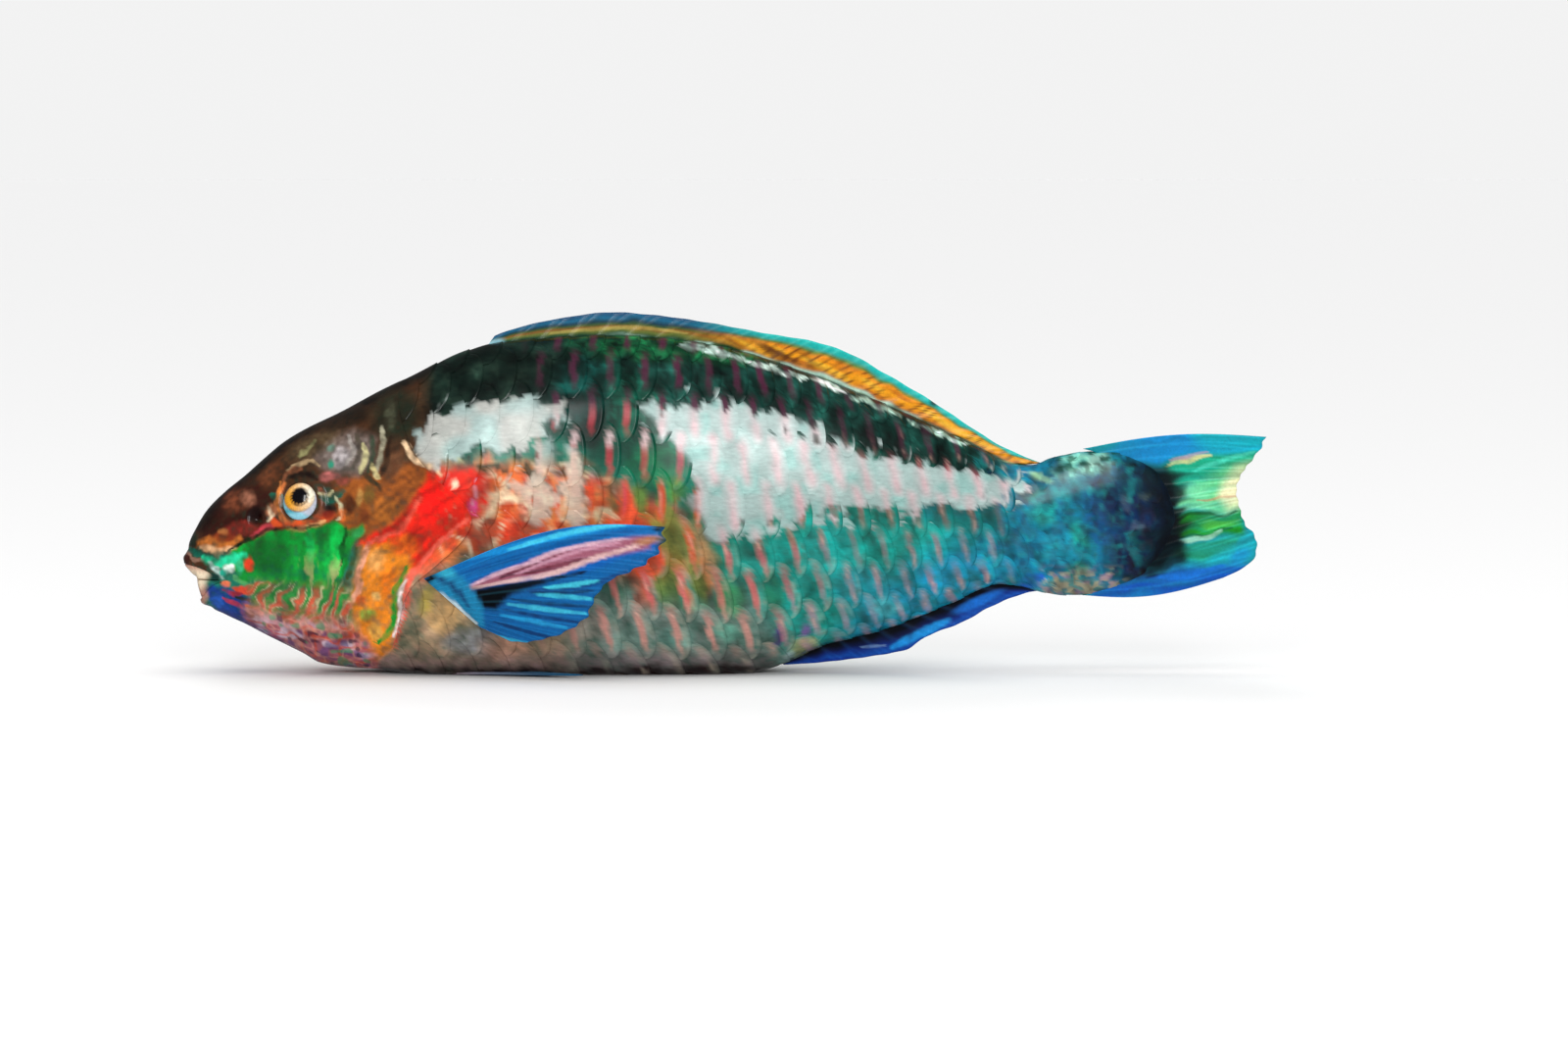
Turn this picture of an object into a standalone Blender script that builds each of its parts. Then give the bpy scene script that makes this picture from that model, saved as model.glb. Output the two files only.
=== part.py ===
"""A life-size parrotfish that rests on its slumped belly, head towards -X, left flank towards -Y.

Every length below is in millimetres; new_object() turns it into metres. The body is one loft of
cross sections along X, read from the outlines TOP, BELLY, HALF_WIDTH and WIDEST, and it is parted
into head, trunk and tail stalk by thin cuts. Fins are ribbed sheets, cut clear of the body.
"""

import math

import bmesh
import bpy
import numpy as np
from mathutils import Matrix, Vector

for leftover in list(bpy.data.objects):
    bpy.data.objects.remove(leftover, do_unlink=True)

MM = 0.001
GAP = 0.3

# Outlines of the body without its fins: (x, value) pairs, snout to tail
TOP = [
    (-200.2, 41.4), (-199.1, 47.2), (-196.2, 53.6), (-192.6, 59.6), (-185.4, 67.0), (-178.2, 72.8),
    (-171.0, 79.2), (-163.8, 85.2), (-156.6, 89.6), (-142.2, 96.6), (-127.8, 104.4), (-113.4, 111.2),
    (-99.0, 118.0), (-86.0, 121.8), (-72.0, 123.5), (-43.0, 125.0), (-21.6, 123.8), (0.0, 120.4),
    (21.6, 114.1), (57.6, 100.1), (93.6, 83.2), (107.0, 77.0), (114.0, 76.8), (119.5, 79.0),
    (125.0, 80.4), (132.0, 81.6), (142.0, 82.0), (155.0, 77.6), (163.5, 69.8), (167.4, 58.4),
]
BELLY = [
    (-200.2, 39.2), (-198.0, 36.6), (-195.9, 34.4), (-195.2, 30.6), (-193.8, 26.4), (-185.4, 21.2),
    (-178.2, 17.8), (-171.0, 14.0), (-163.8, 10.4), (-156.6, 6.8), (-150.5, 3.4), (-142.0, 2.0),
    (-128.0, 0.9), (-114.0, -0.6), (-98.0, -2.2), (-60.0, -2.8), (-10.0, -2.4), (8.0, -0.8),
    (22.0, 3.4), (34.9, 9.2), (58.3, 15.5), (83.2, 25.2), (102.0, 32.6), (111.0, 31.4),
    (118.0, 29.4), (126.0, 28.4), (134.0, 28.6), (142.0, 30.6), (153.0, 34.8), (163.5, 44.2),
    (167.4, 54.6),
]
HALF_WIDTH = [
    (-200.2, 4.6), (-199.0, 7.4), (-196.5, 9.8), (-192.6, 12.2), (-185.4, 15.0), (-178.2, 17.2),
    (-163.8, 21.4), (-150.0, 24.8), (-128.0, 28.0), (-99.0, 30.2), (-72.0, 30.8), (-40.0, 30.2),
    (0.0, 27.2), (40.0, 21.6), (76.0, 14.8), (108.0, 9.6), (130.0, 7.6), (144.0, 5.8),
    (155.0, 4.0), (163.5, 2.4), (167.4, 1.2),
]
WIDEST = [
    (-200.2, 40.2), (-195.0, 38.0), (-185.0, 41.5), (-170.0, 44.5), (-150.0, 46.0), (-110.0, 49.0),
    (-60.0, 50.0), (0.0, 51.0), (60.0, 55.0), (108.0, 55.5), (140.0, 56.5), (167.4, 56.5),
]
# How full a section is over and under its widest level: 1 is an ellipse, less is squarer
BACK_FULLNESS = [(-200.2, 0.9), (-150.0, 0.98), (-99.0, 1.08), (118.0, 1.05), (167.4, 1.0)]
BELLY_FULLNESS = [
    (-200.2, 0.9), (-170.0, 1.05), (-142.0, 0.86), (-120.0, 0.74), (-20.0, 0.72), (22.0, 0.86),
    (60.0, 1.0), (167.4, 1.0),
]
SNOUT_X = TOP[0][0]
TONGUE_X = TOP[-1][0]

# Where the body is parted
GILL_EDGE = [
    (-124.0, 132.0), (-121.5, 106.0), (-115.6, 86.0), (-106.4, 74.0), (-96.4, 65.8), (-92.4, 58.4),
    (-96.2, 50.4), (-106.2, 41.2), (-115.0, 33.4), (-118.6, 24.0), (-121.0, 13.4), (-125.0, 3.0),
    (-130.0, -12.0),
]
STALK_CUT_X = 118.0

# Head features, as (x, z) in the side view
EYE = (-155.9, 63.4)
EYE_RADIUS = 7.3
EYE_DEPTH_RADIUS = 4.8
EYE_SUNK = 2.5
NOSTRIL = (-172.4, 58.0)
CHEEK_EDGE = [
    (-111.0, 66.0), (-117.0, 59.0), (-129.0, 48.5), (-134.0, 42.0), (-133.8, 30.0), (-130.6, 17.0),
    (-126.0, 6.0),
]
MOUTH_CORNER = (-185.4, 34.3)
UPPER_LIP = [(-206.0, 41.4), (-200.2, 40.6), (-195.0, 39.7), (-190.8, 38.1), (-188.0, 36.2), MOUTH_CORNER]
LOWER_LIP = [(-206.0, 25.6), (-196.0, 26.6), (-193.6, 28.2), (-191.0, 31.0), (-188.6, 33.2), MOUTH_CORNER]
BITE_Z = 35.1

# Margins of the fins that show past the body
DORSAL_MARGIN = [
    (-90.0, 121.6), (-84.6, 125.0), (-77.0, 127.6), (-63.0, 130.8), (-41.4, 133.4), (-27.0, 132.4),
    (-9.0, 130.0), (16.2, 125.4), (32.0, 122.8), (45.0, 118.6), (59.4, 110.6), (75.6, 101.0),
    (88.2, 92.6), (102.6, 83.6), (117.0, 77.4),
]
ANAL_MARGIN = [
    (20.0, 2.4), (30.6, 2.9), (45.0, 4.3), (59.4, 6.4), (66.6, 7.9), (75.0, 13.2),
    (88.2, 18.4), (98.0, 23.8), (109.8, 28.6), (116.6, 30.2),
]
TAIL_TIPS = [
    (0.0, 200.2, 87.2), (0.07, 199.0, 83.8), (0.16, 195.4, 78.6), (0.28, 191.6, 73.6),
    (0.42, 189.4, 67.4), (0.56, 190.6, 61.0), (0.68, 192.4, 55.4), (0.80, 196.8, 49.6),
    (0.88, 197.2, 44.4), (0.95, 192.4, 38.6), (1.0, 184.6, 34.8),
]
PECTORAL_ROOT = ((-109.6, 35.2), (-91.6, 18.2))
PECTORAL_TIPS = [
    (-21.6, 53.4), (-21.0, 48.6), (-23.6, 43.8), (-28.6, 39.6), (-34.6, 36.8), (-40.6, 34.4),
    (-45.0, 30.2), (-47.6, 25.4), (-49.4, 20.6), (-54.0, 16.8), (-60.0, 13.6), (-66.8, 11.6),
    (-72.4, 10.4), (-78.4, 10.6),
]


def curve(points, x):
    """The smooth, monotone-limited curve through points, at x."""
    xs = np.array([p[0] for p in points], float)
    ys = np.array([p[1] for p in points], float)
    steps = np.diff(xs)
    slopes = np.diff(ys) / steps
    tangents = np.zeros(len(xs))
    rising = slopes[:-1] * slopes[1:] > 0
    a, b = 2 * steps[1:] + steps[:-1], steps[1:] + 2 * steps[:-1]
    safe = np.where(rising, slopes[:-1] * slopes[1:], 1.0)
    harmonic = (a + b) * safe / (a * slopes[1:] + b * slopes[:-1] + ~rising)
    tangents[1:-1] = np.where(rising, harmonic, 0.0)
    tangents[0], tangents[-1] = slopes[0], slopes[-1]
    x = np.clip(np.asarray(x, float), xs[0], xs[-1])
    i = np.clip(np.searchsorted(xs, x, side="right") - 1, 0, len(steps) - 1)
    t = (x - xs[i]) / steps[i]
    t2, t3 = t * t, t * t * t
    return (
        (2 * t3 - 3 * t2 + 1) * ys[i] + (t3 - 2 * t2 + t) * steps[i] * tangents[i]
        + (3 * t2 - 2 * t3) * ys[i + 1] + (t3 - t2) * steps[i] * tangents[i + 1]
    )


def smooth_path(points, per_span=4):
    """Catmull-Rom points through a list of (x, z) or (x, y, z) points."""
    p = [np.array(q, float) for q in points]
    p = [2 * p[0] - p[1], *p, 2 * p[-1] - p[-2]]
    made = []
    for i in range(1, len(p) - 2):
        for s in range(per_span):
            t = s / per_span
            made.append(0.5 * (
                2 * p[i] + (p[i + 1] - p[i - 1]) * t
                + (2 * p[i - 1] - 5 * p[i] + 4 * p[i + 1] - p[i + 2]) * t * t
                + (3 * p[i] - p[i - 1] - 3 * p[i + 1] + p[i + 2]) * t ** 3
            ))
    return np.array([*made, p[-2]])


def bump(distance, width):
    """A smooth hump of height 1, that wide each way."""
    return np.exp(-((distance / width) ** 2))


def ease(value, low, high):
    """0 below low, 1 above high, smooth between."""
    t = np.clip((value - low) / (high - low), 0.0, 1.0)
    return t * t * (3 - 2 * t)


# The body's surface


HALF_SECTION = np.linspace(0.0, math.pi, 181)


def half_section(x):
    """(y, z) from the middle of the back down one flank to the middle of the belly, with y >= 0."""
    top, belly = curve(TOP, x), curve(BELLY, x)
    wide, level = curve(HALF_WIDTH, x), curve(WIDEST, x)
    level = min(max(level, belly + 0.3 * (top - belly)), top - 0.3 * (top - belly))
    sine, cosine = np.sin(HALF_SECTION), np.cos(HALF_SECTION)
    upper = cosine >= 0
    fullness = np.where(upper, curve(BACK_FULLNESS, x), curve(BELLY_FULLNESS, x))
    y = wide * np.clip(sine, 0.0, 1.0) ** fullness
    drop = np.abs(cosine) ** np.where(upper, 1.0, 0.5 + 0.5 * fullness)
    z = np.where(upper, level + (top - level) * drop, level - (level - belly) * drop)
    return y, z


def section_points(x, shares):
    """Points of the section at x; share 0 is the back, 0.5 the belly, below 0.5 the left flank."""
    y, z = half_section(x)
    length = np.concatenate([[0.0], np.cumsum(np.hypot(np.diff(y), np.diff(z)))])
    shares = np.asarray(shares, float) % 1.0
    along = np.where(shares <= 0.5, shares, 1.0 - shares) * 2 * length[-1]
    side = np.where((shares > 0.0) & (shares < 0.5), -1.0, 1.0)
    return np.interp(along, length, y) * side, np.interp(along, length, z)


def body_grid(stations, shares):
    """Grid of body points: one ring of len(shares) points at each x."""
    grid = np.zeros((len(stations), len(shares), 3))
    for i, x in enumerate(stations):
        y, z = section_points(x, shares)
        grid[i, :, 0], grid[i, :, 1], grid[i, :, 2] = x, y, z
    return grid


def grid_normals(grid):
    """Outward normals of a grid of rings."""
    along = np.gradient(grid, axis=0)
    around = np.roll(grid, -1, axis=1) - np.roll(grid, 1, axis=1)
    normal = np.cross(around, along)
    size = np.linalg.norm(normal, axis=2, keepdims=True)
    normal = normal / np.maximum(size, 1e-9)
    outward = np.sum(normal * (grid - grid.mean(axis=1, keepdims=True)))
    return normal if outward > 0 else -normal


def flank_width(x, z):
    """Half width of the body at a point of the side view."""
    y, level = half_section(x)
    return float(np.interp(-z, -level, y))


def distances(points, path):
    """Distance of each (x, z) point from a path, and the index of the nearest path point."""
    a, b = path[:-1], path[1:]
    ab = b - a
    best, nearest = np.full(len(points), 1e9), np.zeros(len(points), int)
    for i in range(len(a)):
        t = np.clip(((points - a[i]) @ ab[i]) / max(ab[i] @ ab[i], 1e-9), 0, 1)
        d = np.linalg.norm(points - (a[i] + t[:, None] * ab[i]), axis=1)
        closer = d < best
        best[closer], nearest[closer] = d[closer], i
    return best, nearest


def head_relief(points):
    """How far the head's surface stands out from the plain loft, at (x, z) points of the side view."""
    x, z = points[:, 0], points[:, 1]
    gill = smooth_path(GILL_EDGE)
    ahead = np.interp(-z, -gill[:, 1], gill[:, 0]) - x
    relief = 1.3 * np.exp(-np.clip(ahead, 0, None) / 9.0) * ease(z, 8.0, 20.0) * (1 - ease(z, 84.0, 104.0))
    cheek = smooth_path(CHEEK_EDGE)
    away, _ = distances(points, cheek)
    before = np.interp(-z, -cheek[:, 1], cheek[:, 0]) - x
    on_cheek = ease(z, 6.0, 14.0) * (1 - ease(z, 58.0, 68.0))
    relief += on_cheek * (0.7 * ease(before, -0.5, 1.5) * np.exp(-np.clip(before, 0, None) / 14.0))
    relief -= on_cheek * 0.7 * bump(away, 1.4)
    from_eye = np.hypot(x - EYE[0], z - EYE[1])
    relief += 1.1 * bump(from_eye - EYE_RADIUS - 0.6, 1.7)
    from_nostril = np.hypot(x - NOSTRIL[0], (z - NOSTRIL[1]) * 0.8)
    relief += 0.5 * bump(from_nostril - 3.4, 1.2) - 1.7 * bump(from_nostril, 1.9)
    for lip, outside in ((UPPER_LIP, 1.9), (LOWER_LIP, -1.9)):
        edge = smooth_path(lip) + np.array([0.0, outside])
        off, _ = distances(points, edge)
        relief += 0.9 * bump(off, 1.7) * (1 - ease(x, MOUTH_CORNER[0], MOUTH_CORNER[0] + 3.0))
        relief -= 0.35 * bump(off - 3.6, 1.2) * (1 - ease(x, MOUTH_CORNER[0] - 2.0, MOUTH_CORNER[0] + 1.0))
    return relief


# Mesh helpers


def new_object(name, vertices, faces):
    mesh = bpy.data.meshes.new(name)
    mesh.from_pydata([tuple(np.asarray(v, float) * MM) for v in vertices], [], faces)
    mesh.validate()
    obj = bpy.data.objects.new(name, mesh)
    bpy.context.scene.collection.objects.link(obj)
    cleaned(obj)
    return obj


def cleaned(obj):
    """Normals out, doubles merged, faces made triangles."""
    work = bmesh.new()
    work.from_mesh(obj.data)
    bmesh.ops.remove_doubles(work, verts=work.verts, dist=1e-7)
    bmesh.ops.recalc_face_normals(work, faces=work.faces)
    bmesh.ops.triangulate(work, faces=work.faces)
    work.to_mesh(obj.data)
    work.free()
    return obj


def tube_faces(rings, around):
    """Quads of a closed tube of rings, each of that many points."""
    return [
        (i * around + j, i * around + (j + 1) % around, (i + 1) * around + (j + 1) % around, (i + 1) * around + j)
        for i in range(rings - 1) for j in range(around)
    ]


def capped_tube(name, grid):
    """A closed solid from a grid of rings: each end is closed by a fan to its centre."""
    rings, around = grid.shape[:2]
    vertices = [*grid.reshape(-1, 3), grid[0].mean(axis=0), grid[-1].mean(axis=0)]
    faces = tube_faces(rings, around)
    first, last = rings * around, rings * around + 1
    faces += [(first, (j + 1) % around, j) for j in range(around)]
    offset = (rings - 1) * around
    faces += [(last, offset + j, offset + (j + 1) % around) for j in range(around)]
    return new_object(name, vertices, faces)


def apply_modifier(obj, modifier):
    graph = bpy.context.evaluated_depsgraph_get()
    mesh = bpy.data.meshes.new_from_object(obj.evaluated_get(graph))
    obj.modifiers.remove(modifier)
    obj.data = mesh
    return obj


def boolean(obj, operation, *others, keep=False):
    """Cuts, joins or intersects obj with each of the others, which are then removed."""
    for other in others:
        modifier = obj.modifiers.new("boolean", "BOOLEAN")
        modifier.operation, modifier.solver, modifier.object = operation, "EXACT", other
        apply_modifier(obj, modifier)
        if not keep:
            bpy.data.objects.remove(other, do_unlink=True)
    return cleaned(obj)


def largest_shell(obj):
    """Keeps the largest closed surface of obj."""
    work = bmesh.new()
    work.from_mesh(obj.data)
    work.faces.ensure_lookup_table()
    left, shells = set(work.faces), []
    while left:
        shell, front = set(), [left.pop()]
        while front:
            face = front.pop()
            shell.add(face)
            for edge in face.edges:
                for near in edge.link_faces:
                    if near in left:
                        left.discard(near)
                        front.append(near)
        shells.append(shell)
    biggest = max(shells, key=lambda s: sum(f.calc_area() for f in s))
    bmesh.ops.delete(work, geom=[f for f in work.faces if f not in biggest], context="FACES")
    work.to_mesh(obj.data)
    work.free()
    return obj


def decimated(obj, triangles, kept_places):
    """Fewer triangles, none taken near the kept places: (x, z, radius) in the side view."""
    group = obj.vertex_groups.new(name="free")
    for vertex in obj.data.vertices:
        x, z = vertex.co.x / MM, vertex.co.z / MM
        if all(math.hypot(x - kx, z - kz) > reach for kx, kz, reach in kept_places):
            group.add([vertex.index], 1.0, "REPLACE")
    modifier = obj.modifiers.new("decimate", "DECIMATE")
    modifier.vertex_group = "free"
    modifier.ratio = triangles / len(obj.data.polygons)
    modifier.use_symmetry, modifier.symmetry_axis = True, "Y"
    return cleaned(apply_modifier(obj, modifier))


def prism(name, outline, low_y, high_y):
    """A closed prism of an (x, z) outline, from low_y to high_y."""
    n = len(outline)
    vertices = [(x, y, z) for y in (low_y, high_y) for x, z in outline]
    faces = [tuple(range(n)), tuple(range(2 * n - 1, n - 1, -1))]
    faces += [(i, (i + 1) % n, n + (i + 1) % n, n + i) for i in range(n)]
    return new_object(name, vertices, faces)


def ellipsoid(name, centre, axes, radii, segments=24, rings=14):
    """An ellipsoid whose own axes are the three given unit vectors."""
    work = bmesh.new()
    bmesh.ops.create_uvsphere(work, u_segments=segments, v_segments=rings, radius=1.0)
    vertices = [
        np.array(centre) + sum(np.array(a) * r * c for a, r, c in zip(axes, radii, v.co)) for v in work.verts
    ]
    faces = [tuple(v.index for v in f.verts) for f in work.faces]
    work.free()
    return new_object(name, vertices, faces)


def paint(obj, colour, roughness, metallic=0.0):
    material = bpy.data.materials.new(obj.name)
    material.use_nodes = True
    shader = material.node_tree.nodes["Principled BSDF"]
    shader.inputs["Base Color"].default_value = (*colour, 1.0)
    shader.inputs["Roughness"].default_value = roughness
    shader.inputs["Metallic"].default_value = metallic
    obj.data.materials.clear()
    obj.data.materials.append(material)
    obj.data.shade_smooth()
    obj.data.set_sharp_from_angle(angle=math.radians(35))
    return obj


# The parts of the body


def spaced(low, high, step_low, step_high):
    """Stations from low to high whose steps grow evenly from step_low to step_high."""
    count = max(2, round(2 * (high - low) / (step_low + step_high)))
    steps = np.linspace(step_low, step_high, count)
    places = low + np.concatenate([[0.0], np.cumsum(steps)]) * (high - low) / steps.sum()
    return places


def on_floor(grid):
    """The grid with what lies under the floor pressed flat on it."""
    grid[..., 2] = np.maximum(grid[..., 2], 0.0)
    return grid


TRUNK_STATIONS = spaced(-132.0, STALK_CUT_X + 6.0, 7.8, 7.8)
STALK_STATIONS = [
    *spaced(STALK_CUT_X - 6.0, 150.0, 5.0, 4.0), 154.0, 158.0, 161.5, 164.5, 166.6, TONGUE_X,
]
TRUNK_AROUND, STALK_AROUND = 44, 36


def clearance(stations, around):
    """The carrier's own loft, grown by the gap: it cuts a fin clear of what the fin grows from."""
    grid = body_grid(stations, np.arange(around) / around)
    return capped_tube("clearance", grid + grid_normals(grid) * GAP)


def behind_gill(shift):
    """A block of all that lies behind the gill edge, moved by shift along X."""
    edge = smooth_path(GILL_EDGE, 3) + np.array([shift, 0.0])
    outline = [*edge, (260.0, edge[-1][1]), (260.0, edge[0][1])]
    return prism("behind_gill", outline, -60.0, 60.0)


def block(low_x, high_x):
    outline = [(low_x, -60.0), (high_x, -60.0), (high_x, 160.0), (low_x, 160.0)]
    return prism("block", outline, -60.0, 60.0)


def eye_frame(side):
    """Centre of the eye on the plain loft, and its axes: forward, up and outward."""
    x, z = EYE
    y = flank_width(x, z)
    along = np.array([4.0, side * (flank_width(x + 2, z) - flank_width(x - 2, z)), 0.0])
    up = np.array([0.0, side * (flank_width(x, z + 2) - flank_width(x, z - 2)), 4.0])
    outward = np.cross(along, up)
    outward = outward / np.linalg.norm(outward) * (1 if outward[1] * side > 0 else -1)
    along = along / np.linalg.norm(along)
    up = np.cross(outward, along)
    centre = np.array([x, side * y, z]) - outward * EYE_SUNK
    return centre, (along, up, outward)


def eye_ball(name, side, grow=0.0, segments=24, rings=12):
    centre, axes = eye_frame(side)
    radii = (EYE_RADIUS + grow, EYE_RADIUS + grow, EYE_DEPTH_RADIUS + grow)
    return ellipsoid(name, centre, axes, radii, segments, rings)


def lip_wedge(name, inset):
    """The open mouth between the lips, in the side view, made smaller by inset."""
    upper = smooth_path(UPPER_LIP, 3)[:-1] - np.array([0.0, inset])
    lower = smooth_path(LOWER_LIP, 3)[:-1] + np.array([0.0, inset])
    corner = np.array(MOUTH_CORNER) - np.array([inset * 3, 0.0])
    return prism(name, [*upper, corner, *lower[::-1]], -30.0, 30.0)


def head_loft(name, stations, around, grow):
    shares = np.arange(around) / around
    grid = body_grid(stations, shares)
    normals = grid_normals(grid)
    relief = head_relief(grid.reshape(-1, 3)[:, [0, 2]]).reshape(grid.shape[:2])
    return capped_tube(name, on_floor(grid + normals * (relief + grow)[..., None]))


def make_head():
    stations = spaced(SNOUT_X, -84.0, 0.35, 2.0)
    fine_places = [(*EYE, EYE_RADIUS + 3.0), (*NOSTRIL, 4.2)]
    head = decimated(head_loft("head", stations, 120, 0.0), 4000, fine_places)
    boolean(head, "DIFFERENCE", behind_gill(-GAP / 2))
    boolean(head, "DIFFERENCE", lip_wedge("mouth", 0.0))
    boolean(head, "DIFFERENCE", eye_ball("socket", -1, GAP), eye_ball("socket", 1, GAP))
    return paint(largest_shell(head), (0.30, 0.16, 0.07), 0.35)


def make_beak(name, low_z, high_z):
    """One plate of fused teeth: the snout's own shape, a little inside the lips."""
    stations = spaced(SNOUT_X, MOUTH_CORNER[0] + 2.0, 0.5, 1.6)
    shares = np.arange(36) / 36
    grid = body_grid(stations, shares)
    plate = capped_tube(name, grid + grid_normals(grid) * -0.2)
    boolean(plate, "INTERSECT", lip_wedge("room", GAP))
    bounds = prism("bounds", [(-215, low_z), (-175, low_z), (-175, high_z), (-215, high_z)], -30.0, 30.0)
    boolean(plate, "INTERSECT", bounds)
    return paint(largest_shell(plate), (0.86, 0.74, 0.58), 0.25)


def make_trunk():
    grid = on_floor(body_grid(TRUNK_STATIONS, np.arange(TRUNK_AROUND) / TRUNK_AROUND))
    trunk = capped_tube("trunk", grid)
    behind = behind_gill(GAP / 2)
    boolean(trunk, "INTERSECT", behind)
    boolean(trunk, "DIFFERENCE", block(STALK_CUT_X - GAP / 2, 260.0))
    return paint(largest_shell(trunk), (0.05, 0.36, 0.33), 0.3)


def make_stalk():
    grid = body_grid(STALK_STATIONS, np.arange(STALK_AROUND) / STALK_AROUND)
    stalk = capped_tube("tail_stalk", grid)
    boolean(stalk, "DIFFERENCE", block(-260.0, STALK_CUT_X + GAP / 2))
    return paint(largest_shell(stalk), (0.02, 0.22, 0.36), 0.3)


# The fins


def ribbed_sheet(name, surface, rays, stations, crest, web, notch=0.03):
    """A fin: surface(u, t) gives the point and the unit normal of its middle sheet, u across the
    rays and t from root to tip. crest(t) and web(t) are its half thickness on and between rays."""
    columns = [((k + part) / (rays - 1), part == 0.0) for k in range(rays - 1) for part in (0.0, 0.3, 0.7)]
    columns.append((1.0, True))
    steps = np.linspace(0.0, 1.0, stations)
    sides = ([], [])
    for u, on_ray in columns:
        for t in steps:
            reach = t if on_ray else t * (1 - notch * t)
            point, normal = surface(u, reach)
            half = crest(t) if on_ray else web(t)
            sides[0].append(np.array(point) + np.array(normal) * half)
            sides[1].append(np.array(point) - np.array(normal) * half)
    n, m, total = len(columns), stations, len(columns) * stations
    faces = []
    for i in range(n - 1):
        for j in range(m - 1):
            a, b, c, d = i * m + j, i * m + j + 1, (i + 1) * m + j + 1, (i + 1) * m + j
            faces += [(a, b, c), (a, c, d)]
            faces += [(total + a, total + c, total + b), (total + a, total + d, total + c)]
    rim = [i * m for i in range(n)] + [(n - 1) * m + j for j in range(1, m)]
    rim += [i * m + m - 1 for i in range(n - 2, -1, -1)] + list(range(m - 2, 0, -1))
    for p, q in zip(rim, rim[1:] + rim[:1]):
        faces += [(p, q, total + q), (p, total + q, total + p)]
    return new_object(name, sides[0] + sides[1], faces)


def thickness(root, tip):
    """A half thickness that falls from root to tip, fastest near the root."""
    return lambda t: tip + (root - tip) * (1 - t) ** 1.6


SIDEWAYS = (0.0, 1.0, 0.0)


def median_fin(name, first, last, line, margin, lean, sink, rays, wave):
    """A fin on the body's midline, folded back: each ray leans from its root on line to margin."""

    def surface(u, t):
        root_x = first + (last - first) * u
        root_z = float(curve(line, root_x)) + sink
        tip_x = root_x + lean[0] + (lean[1] - lean[0]) * math.sqrt(u)
        tip_z = float(curve(margin, tip_x))
        x = root_x + (tip_x - root_x) * t
        z = root_z + (tip_z - root_z) * t ** 0.8
        return (x, wave * t * math.sin(u * 9.0), z), SIDEWAYS

    return ribbed_sheet(name, surface, rays, 5, thickness(1.1, 0.42), thickness(0.8, 0.28), 0.02)


def make_dorsal_fin():
    fin = median_fin("dorsal_fin", -89.0, 98.0, TOP, DORSAL_MARGIN, (3.6, 18.8), -2.2, 19, 0.7)
    boolean(fin, "DIFFERENCE", clearance(TRUNK_STATIONS, TRUNK_AROUND))
    return paint(largest_shell(fin), (0.78, 0.36, 0.05), 0.35)


def make_anal_fin():
    fin = median_fin("anal_fin", 19.0, 100.0, BELLY, ANAL_MARGIN, (2.6, 16.4), 2.2, 12, 0.6)
    boolean(fin, "DIFFERENCE", clearance(TRUNK_STATIONS, TRUNK_AROUND))
    return paint(largest_shell(fin), (0.01, 0.10, 0.50), 0.35)


def make_caudal_fin():
    tips_x = [(u, x) for u, x, z in TAIL_TIPS]
    tips_z = [(u, z) for u, x, z in TAIL_TIPS]

    def surface(u, t):
        turn = math.radians(82.0 - 164.0 * u)
        root = (129.0 + 24.0 * math.cos(turn), 55.6 + 27.4 * math.sin(turn))
        bow = 3.0 * (1 - ease(u, 0.0, 0.35)) - 3.4 * ease(u, 0.7, 1.0)
        x = root[0] + (float(curve(tips_x, u)) - root[0]) * t
        z = root[1] + (float(curve(tips_z, u)) - root[1]) * t + bow * math.sin(math.pi * t)
        return (x, 1.2 * t * math.sin(u * 7.0), z), SIDEWAYS

    fin = ribbed_sheet("caudal_fin", surface, 13, 7, thickness(1.6, 0.42), thickness(1.1, 0.28), 0.02)
    boolean(fin, "DIFFERENCE", clearance(STALK_STATIONS, STALK_AROUND))
    return paint(largest_shell(fin), (0.02, 0.40, 0.48), 0.35)


def make_pectoral_fin(name, side):
    """The rays fan out of a smooth fleshy lobe that stands on the flank behind the gill edge."""
    root_top, root_low = np.array(PECTORAL_ROOT[0]), np.array(PECTORAL_ROOT[1])

    def surface(u, t):
        root = root_top + (root_low - root_top) * u
        place = u * (len(PECTORAL_TIPS) - 1)
        k = min(int(place), len(PECTORAL_TIPS) - 2)
        a, b = np.array(PECTORAL_TIPS[k]), np.array(PECTORAL_TIPS[k + 1])
        tip = a + (b - a) * (place - k)
        reach = float(np.linalg.norm(tip - root))
        flat = root + (tip - root) * t
        bow = 7.6 * (1 - ease(u, 0.0, 0.7)) * math.sin(math.pi * t ** 1.1)
        out = flank_width(*root) - 4.0 + 5.4 * ease(t, 0.0, 0.16) + reach * t * (0.17 + 0.10 * u)
        out += 2.6 * math.sin(math.pi * u) * t
        normal = Vector((0.20, side, 0.10 - 0.25 * u)).normalized()
        return (flat[0], side * out, flat[1] + bow), tuple(normal)

    def on_ray(t):
        return 0.42 + 1.9 * (1 - t) ** 2.6

    def between(t):
        return on_ray(t) * (1 - 0.34 * float(ease(t, 0.06, 0.3)))

    fin = ribbed_sheet(name, surface, 14, 7, on_ray, between, 0.018)
    boolean(fin, "DIFFERENCE", clearance(TRUNK_STATIONS, TRUNK_AROUND))
    return paint(largest_shell(fin), (0.01, 0.25, 0.62), 0.35)


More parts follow.
